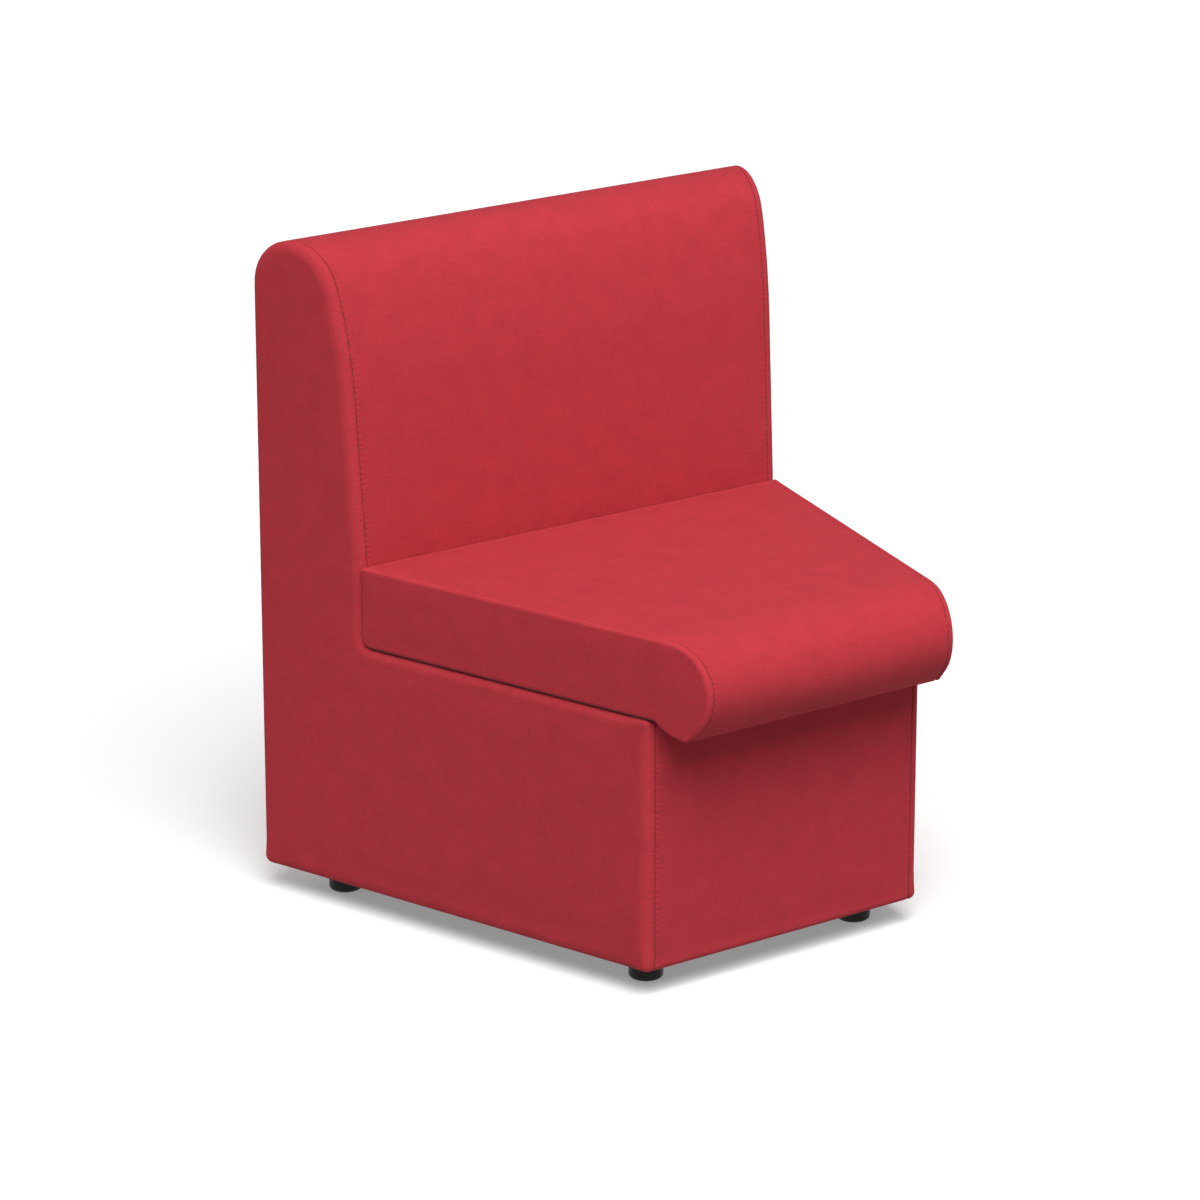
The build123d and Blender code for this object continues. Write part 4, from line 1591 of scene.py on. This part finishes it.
def sew(name: str, plan: SeatPlan, hand: Hand, outline: Outline, inset: float) -> bpy.types.Object:
    """Lay the stitches down in a side seam.

    Args:
        name: The stitches' name.
        plan: The seat's plan.
        hand: Which side.
        outline: The seam's outline.
        inset: The seam's inset.

    Returns:
        The stitches as one piece.
    """
    sunk = outline.points - outline.outward * STITCH_DEPTH
    places = plan.places(hand, sunk[:, 0], sunk[:, 1], inset)
    square = (hand.value * math.cos(plan.slant), -math.sin(plan.slant), 0.0)
    across = np.tile(np.array(square, np.float32), (len(places), 1))
    return keep(STITCHES.apply(line_object(name, places, across)))


@dataclass(frozen=True)
class SeatCushion:
    """The seat cushion, with its nose over the front of the base."""

    plan: SeatPlan
    back_depth: float = 0.162
    fit: float = 0.0003
    heel_radius: float = 0.012
    heel_top_radius: float = 0.004
    nose_radius: float = 0.0588
    tip_setback: float = 0.0343
    tip_drop: float = 0.016
    tip_radius: float = 0.003
    root_gap: float = 0.007
    root_radius: float = 0.006
    bulge: float = 0.004
    edge_radius: float = 0.0055
    edge_rise: float = 0.0042
    seam_inset: float = 0.008
    tuck: float = 1.2 * MILLIMETRE
    foam_rounding: float = 2 * MILLIMETRE
    step: float = 0.010
    top_press: ClothPress = ClothPress(swell=3.5 * MILLIMETRE)
    side_press: ClothPress = ClothPress(swell=1.5 * MILLIMETRE)

    def corners(self) -> list[Corner]:
        """The side-view outline's corners.

        Returns:
            The corners, clockwise from the rear of the underside.
        """
        top, bottom, rear = self.plan.seat_height, self.plan.base_height + self.fit, self.back_depth + self.fit
        centre = (self.plan.overall_depth - self.nose_radius, top - self.nose_radius)
        tip = (self.plan.overall_depth - self.tip_setback, self.plan.base_height - self.tip_drop)
        apart = math.hypot(tip[0] - centre[0], tip[1] - centre[1])
        lean = math.atan2(tip[1] - centre[1], tip[0] - centre[0])
        touch = lean + math.acos(min(1.0, self.nose_radius / apart))
        turn = math.pi / 2 - touch
        front = centre[0] + self.nose_radius * math.tan(turn / 2)
        root = (self.plan.base_depth + self.root_gap, bottom)
        chord = np.array(root) - np.array(tip)
        width = float(np.linalg.norm(chord))
        outside = np.array((-chord[1], chord[0])) / width
        middle = (np.array(tip) + np.array(root)) / 2 + outside * 2 * self.bulge
        under = 0.8 * (width**2 / (8 * self.bulge) + self.bulge / 2)
        return [
            Corner(rear, bottom, self.heel_radius),
            Corner(rear, top, self.heel_top_radius),
            Corner(front, top, self.nose_radius),
            Corner(*tip, self.tip_radius),
            Corner(*middle, under),
            Corner(*root, self.root_radius),
        ]

    def still(self) -> list[StillZone]:
        """Where the cloth can't swell: against the back and the base.

        Returns:
            The two zones.
        """
        bottom, over = self.plan.base_height, self.plan.seat_height + 0.01
        return [
            StillZone((self.back_depth - 0.01, self.back_depth + 0.004), (bottom - 0.01, over), 0.02),
            StillZone((0.0, self.plan.base_depth + self.root_gap), (bottom - 0.01, bottom + 0.006), 0.02),
        ]

    def build(self) -> None:
        """Make the covers, the foam and the stitches."""
        outline = Outline(self.corners(), self.step)
        tailor = Tailor(self.plan, self.edge_radius, self.edge_rise, self.seam_inset, tuck=self.tuck)
        still = self.still()
        for hand in Hand:
            name = f"seat_side_cover_{hand.word}"
            side = tailor.side(f"cushion_cloth_{hand.word}", hand, outline, self.side_press, still)
            keep(side, name)
            sew(f"cushion_stitches_{hand.word}", self.plan, hand, outline, self.seam_inset)
        bottom = self.plan.base_height + self.fit
        heel = (self.back_depth + self.fit + self.heel_radius, bottom)
        over = outline.stretch(heel, (self.plan.base_depth + self.root_gap, bottom))
        cover = tailor.run("cushion_cloth_top", over, self.top_press, still)
        keep(cover, "seat_top_cover")
        foam = soften("seat_foam", "cushion_foam", CREAM_FOAM, self.foam_rounding)
        keep(foam, "seat_foam")


@dataclass(frozen=True)
class Linings:
    """The black cloths: under the base, on top of it, and under the cushion."""

    plan: SeatPlan
    edge: float = 0.0125  # from the outside of the seat to the cloth's edge
    thickness: float = 0.7 * MILLIMETRE
    foot_inset: float = 0.062
    foot_setback: float = 0.064
    foot_hole: float = 0.015
    hole_points: int = 32
    end_points: int = 34  # along the rear edge and the front edge, without their corners
    grid: float = 0.018
    staple_inset: float = 0.007  # from the cloth's edge
    lift: float = 0.1 * MILLIMETRE  # the cloth stays this far off what it lies on

    def build(self) -> None:
        """Make the dust cover and its staples, and dress the two hidden cloths."""
        for node in ("deck_cloth", "seat_bottom_cloth"):
            dress(node, BLACK_LINING)
        cover = self._dust_cover()
        keep(cover, "dust_cover")
        low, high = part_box("dust_cover")
        rear = self.plan.rear_y - high.y + self.staple_inset
        front = self.plan.rear_y - low.y - self.staple_inset
        level, inset = np.array(low.z - self.lift), self.edge + self.staple_inset
        round_it = ((rear, Hand.LEFT), (rear, Hand.RIGHT), (front, Hand.RIGHT), (front, Hand.LEFT))
        corners = [self.plan.places(hand, np.array(depth), level, inset) for depth, hand in round_it]
        keep(STAPLES.apply(line_object("hem_staples", np.array(corners))))

    def _dust_cover(self) -> bpy.types.Object:
        """The cloth under the base, pulled tight, with a round hole for each foot.

        Returns:
            The cloth shell.
        """
        low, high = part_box("dust_cover")
        rear, front = self.plan.rear_y - high.y, self.plan.rear_y - low.y
        border = self._border(rear, front)
        holes = [self._hole(depth, hand) for depth in self._foot_depths() for hand in Hand]
        inner = [spot for spot in hex_points(border, self.grid) if self._clear(spot, holes)]
        spots = [*border, *(point for hole in holes for point in hole), *inner]
        first = len(border)
        filled = delaunay_2d_cdt([Vector(spot) for spot in spots], [], [list(range(first))], 1, WELD, True)
        faces = [face for face in filled[2] if not self._in_hole(face, first, len(holes))]
        mesh = bpy.data.meshes.new("underside_cloth")
        top = high.z - self.lift
        mesh.from_pydata([(spot[0], self.plan.rear_y - spot[1], top) for spot in filled[0]], [], faces)
        mesh.materials.append(BLACK_LINING.make())
        cloth = link("underside_cloth", mesh)
        face_outward(cloth, Vector((0, 0, 1)))
        wall = cloth.modifiers.new("wall", "SOLIDIFY")
        wall.thickness, wall.offset = self.thickness, 1.0
        return settle(cloth, smooth=False)

    def _border(self, rear: float, front: float) -> np.ndarray:
        """Place points round the cloth's edge.

        Args:
            rear: Depth of its rear edge.
            front: Depth of its front edge.

        Returns:
            One row of x and depth for each point.
        """
        sides = np.linspace(rear, front, math.ceil((front - rear) / self.grid) + 1)
        right = [(self.plan.half_width(depth, self.edge), depth) for depth in sides]
        shares = np.linspace(1, -1, self.end_points + 2)[1:-1]
        ends = [shares * self.plan.half_width(depth, self.edge) for depth in (front, rear)]
        left = [(-x, depth) for x, depth in right[::-1]]
        ahead = [(x, front) for x in ends[0]]
        behind = [(-x, rear) for x in ends[1]]
        return np.array([*right, *ahead, *left, *behind])

    def _foot_depths(self) -> tuple[float, float]:
        """How far forward the rear and front feet stand."""
        return self.foot_setback, self.plan.base_depth - self.foot_setback

    def _hole(self, depth: float, hand: Hand) -> np.ndarray:
        """Place points round a foot's hole.

        Args:
            depth: The foot's depth.
            hand: Its side.

        Returns:
            One row of x and depth for each point.
        """
        x = hand.value * self.plan.half_width(depth, self.foot_inset)
        turns = np.linspace(0, 2 * math.pi, self.hole_points + 1)[:-1]
        return np.stack([x + self.foot_hole * np.cos(turns), depth + self.foot_hole * np.sin(turns)], axis=1)

    def _clear(self, spot: np.ndarray, holes: list[np.ndarray]) -> bool:
        """Whether a point stands clear of every hole."""
        reach = self.foot_hole + 0.4 * self.grid
        return all(np.linalg.norm(spot - hole.mean(axis=0)) > reach for hole in holes)

    def _in_hole(self, face: list[int], first: int, holes: int) -> bool:
        """Whether a face's corners are all on one hole's edge."""
        owners = {(index - first) // self.hole_points if index >= first else -1 for index in face}
        return len(owners) == 1 and 0 <= owners.pop() < holes


@dataclass(frozen=True)
class Carcass:
    """The plywood carcass and its fasteners."""

    def build(self) -> None:
        """Dress every board and fastener."""
        boards = {
            "side_board_left": Veneer.LEFT, "side_board_right": Veneer.RIGHT, "centre_rib": Veneer.ACROSS,
            "back_rib": Veneer.ACROSS, "deck_board": Veneer.LEVEL, "seat_board": Veneer.LEVEL,
            "foot_blocks": Veneer.LEVEL, "rear_board": Veneer.DEEP, "front_board": Veneer.DEEP,
            "back_board": Veneer.DEEP, "back_foot_rail": Veneer.DEEP, "top_rail": Veneer.DEEP,
        }
        for node, stack in boards.items():
            dress(node, plywood(stack))
        for node in ("carcass_screws", "seat_bolts", "seat_washers", "seat_tee_nuts", "foot_tee_nuts"):
            dress(node, PLATED_STEEL)


@dataclass(frozen=True)
class LevellingFoot:
    """A nylon pad and the threaded stem that turns it up and down."""

    corner: str
    stem_body: str
    collar: float = 0.014  # across flats
    collar_bottom: float = 0.0263
    collar_top: float = 0.035
    spigot: float = 0.005
    spigot_bottom: float = 0.008
    root: float = 0.0034
    chamfer: float = 0.0008
    thread_pitch: float = 1.25 * MILLIMETRE
    thread_start: float = 0.0008  # above the collar
    plain_length: float = 0.0022  # of the rod, not threaded
    steps: int = 48

    def build(self) -> None:
        """Dress the pad and make the stem."""
        dress(f"foot_pad_{self.corner}", BLACK_NYLON)
        low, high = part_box(f"foot_stem_{self.corner}")
        centre = ((low.x + high.x) / 2, (low.y + high.y) / 2)
        stem = self._rod(centre, high.z)
        turns = (high.z - self.collar_top - self.plain_length) / self.thread_pitch
        start = self.collar_top + self.thread_start
        sizes = {"Turns": turns, "CentreX": centre[0], "CentreY": centre[1], "Start": start}
        THREAD.apply(stem, smooth=False, **sizes)
        keep(stem, f"foot_stem_{self.corner}", self.stem_body)

    def _rod(self, centre: tuple[float, float], top: float) -> bpy.types.Object:
        """The stem without its thread: spigot, hexagon collar and rod.

        Args:
            centre: The stem's axis, x and y.
            top: The stem's top.

        Returns:
            The rod.
        """
        flat = self.collar / 2
        low, high, cut = self.collar_bottom, self.collar_top, self.chamfer
        rings = [
            (self.spigot_bottom, self.spigot - cut, False), (self.spigot_bottom + cut, self.spigot, False),
            (low, self.spigot, False), (low, flat, False), (low + cut / 2, flat / math.cos(math.pi / 6), True),
            (high - cut / 2, flat / math.cos(math.pi / 6), True), (high, flat, False), (high, self.root, False),
            (top - cut, self.root, False), (top, self.root - cut / 2, False),
        ]
        work = bmesh.new()
        loops = []
        for height, radius, hexed in rings:
            loop = []
            for step in range(self.steps):
                turn = 2 * math.pi * step / self.steps
                reach = radius
                if hexed:
                    reach = min(radius, flat / math.cos((turn % (math.pi / 3)) - math.pi / 6))
                x, y = centre[0] + reach * math.cos(turn), centre[1] + reach * math.sin(turn)
                loop.append(work.verts.new((x, y, height)))
            loops.append(loop)
        for lower, upper in zip(loops, loops[1:]):
            for index in range(self.steps):
                beside = (index + 1) % self.steps
                work.faces.new((lower[index], lower[beside], upper[beside], upper[index]))
        work.faces.new(loops[0][::-1])
        work.faces.new(loops[-1])
        mesh = bpy.data.meshes.new(f"threaded_stem_{self.corner}")
        work.to_mesh(mesh)
        work.free()
        mesh.materials.append(PLATED_STEEL.make())
        return link(mesh.name, mesh)


@dataclass(frozen=True)
class Studio:
    """The floor, the light and the camera."""

    camera_place: tuple[float, float, float] = (-3.474, -4.534, 2.214)
    camera_turn: tuple[float, float, float] = (math.radians(72.31), 0.0, math.radians(-36.74))
    lens: float = 148.12
    sensor: float = 36.0
    clip: tuple[float, float] = (0.1, 200.0)
    floor_size: float = 80.0
    sky: float = 0.25
    ground: float = 0.46
    key_direction: tuple[float, float, float] = (-0.3, -0.48, 0.82)
    key_strength: float = 2.9
    key_spread: float = math.radians(40)
    key_distance: float = 4.0
    horizon: float = 0.1  # half the band over which the sky turns to ground
    fill_place: tuple[float, float, float] = (-0.1, -0.95, 1.75)
    fill_aim: tuple[float, float, float] = (0.0, 0.17, 0.62)
    fill_size: float = 0.7
    fill_power: float = 7.5

    def build(self) -> None:
        """Set up the studio."""
        scene = bpy.context.scene
        scene.view_settings.view_transform = "Standard"
        self._floor()
        self._world(scene)
        self._key(scene)
        self._fill(scene)
        data = bpy.data.cameras.new("camera")
        data.lens, data.sensor_width = self.lens, self.sensor
        data.clip_start, data.clip_end = self.clip
        camera = bpy.data.objects.new("camera", data)
        camera.location, camera.rotation_euler = self.camera_place, self.camera_turn
        scene.collection.objects.link(camera)
        scene.camera = camera

    def _floor(self) -> None:
        """The pale floor. The light that comes up from it is the world's lower half, dimmer than it looks."""
        half = self.floor_size / 2
        mesh = bpy.data.meshes.new("studio_floor")
        corners = [(-half, -half, 0), (half, -half, 0), (half, half, 0), (-half, half, 0)]
        mesh.from_pydata(corners, [], [(0, 1, 2, 3)])
        mesh.materials.append(PALE_FLOOR.make())
        floor = link("studio_floor", mesh)
        floor.visible_diffuse = floor.visible_glossy = floor.visible_shadow = False

    def _world(self, scene: bpy.types.Scene) -> None:
        """Soft white light, more of it from below than from above.

        Args:
            scene: The scene that it lights.
        """
        world = bpy.data.worlds.new("studio")
        world.use_nodes = True
        tree = Tree(world.node_tree)
        toward = tree.add("ShaderNodeTexCoord").outputs["Object"]
        height = tree.add("ShaderNodeSeparateXYZ", {0: toward}).outputs[2]
        sizes = {"Value": height, "From Min": -self.horizon, "From Max": self.horizon}
        sizes |= {"To Min": self.ground, "To Max": self.sky}
        level = tree.add("ShaderNodeMapRange", sizes).outputs[0]
        sky = tree.add("ShaderNodeBackground", {"Color": (1.0, 1.0, 1.0, 1.0), "Strength": level})
        tree.add("ShaderNodeOutputWorld", {"Surface": sky.outputs[0]})
        scene.world = world

    def _key(self, scene: bpy.types.Scene) -> None:
        """The wide soft key light.

        Args:
            scene: The scene that it lights.
        """
        direction = Vector(self.key_direction).normalized()
        data = bpy.data.lights.new("key", "SUN")
        data.energy, data.angle = self.key_strength, self.key_spread
        light = bpy.data.objects.new("key", data)
        light.location = direction * self.key_distance
        light.rotation_euler = direction.to_track_quat("Z", "Y").to_euler()
        scene.collection.objects.link(light)

    def _fill(self, scene: bpy.types.Scene) -> None:
        """The small soft lamp over the seat, aimed at the back.

        Args:
            scene: The scene that it lights.
        """
        data = bpy.data.lights.new("fill", "AREA")
        data.shape, data.size, data.energy = "DISK", self.fill_size, self.fill_power
        light = bpy.data.objects.new("fill", data)
        light.location = self.fill_place
        away = Vector(self.fill_place) - Vector(self.fill_aim)
        light.rotation_euler = away.to_track_quat("Z", "Y").to_euler()
        scene.collection.objects.link(light)


STITCHES = seam_stitches()
STAPLES = staple_row()
THREAD = screw_thread()


def main() -> None:
    """Build the studio and the seat, piece by piece."""
    logging.basicConfig(level=logging.INFO, format="%(message)s")
    plan = SeatPlan.of_frame()
    Studio().build()
    Carcass().build()
    UpholsteredBody(plan).build()
    SeatCushion(plan).build()
    Linings(plan).build()
    for corner in ("front_left", "front_right", "rear_left", "rear_right"):
        LevellingFoot(corner, f"stem_{corner}").build()


if __name__ == "__main__":
    main()
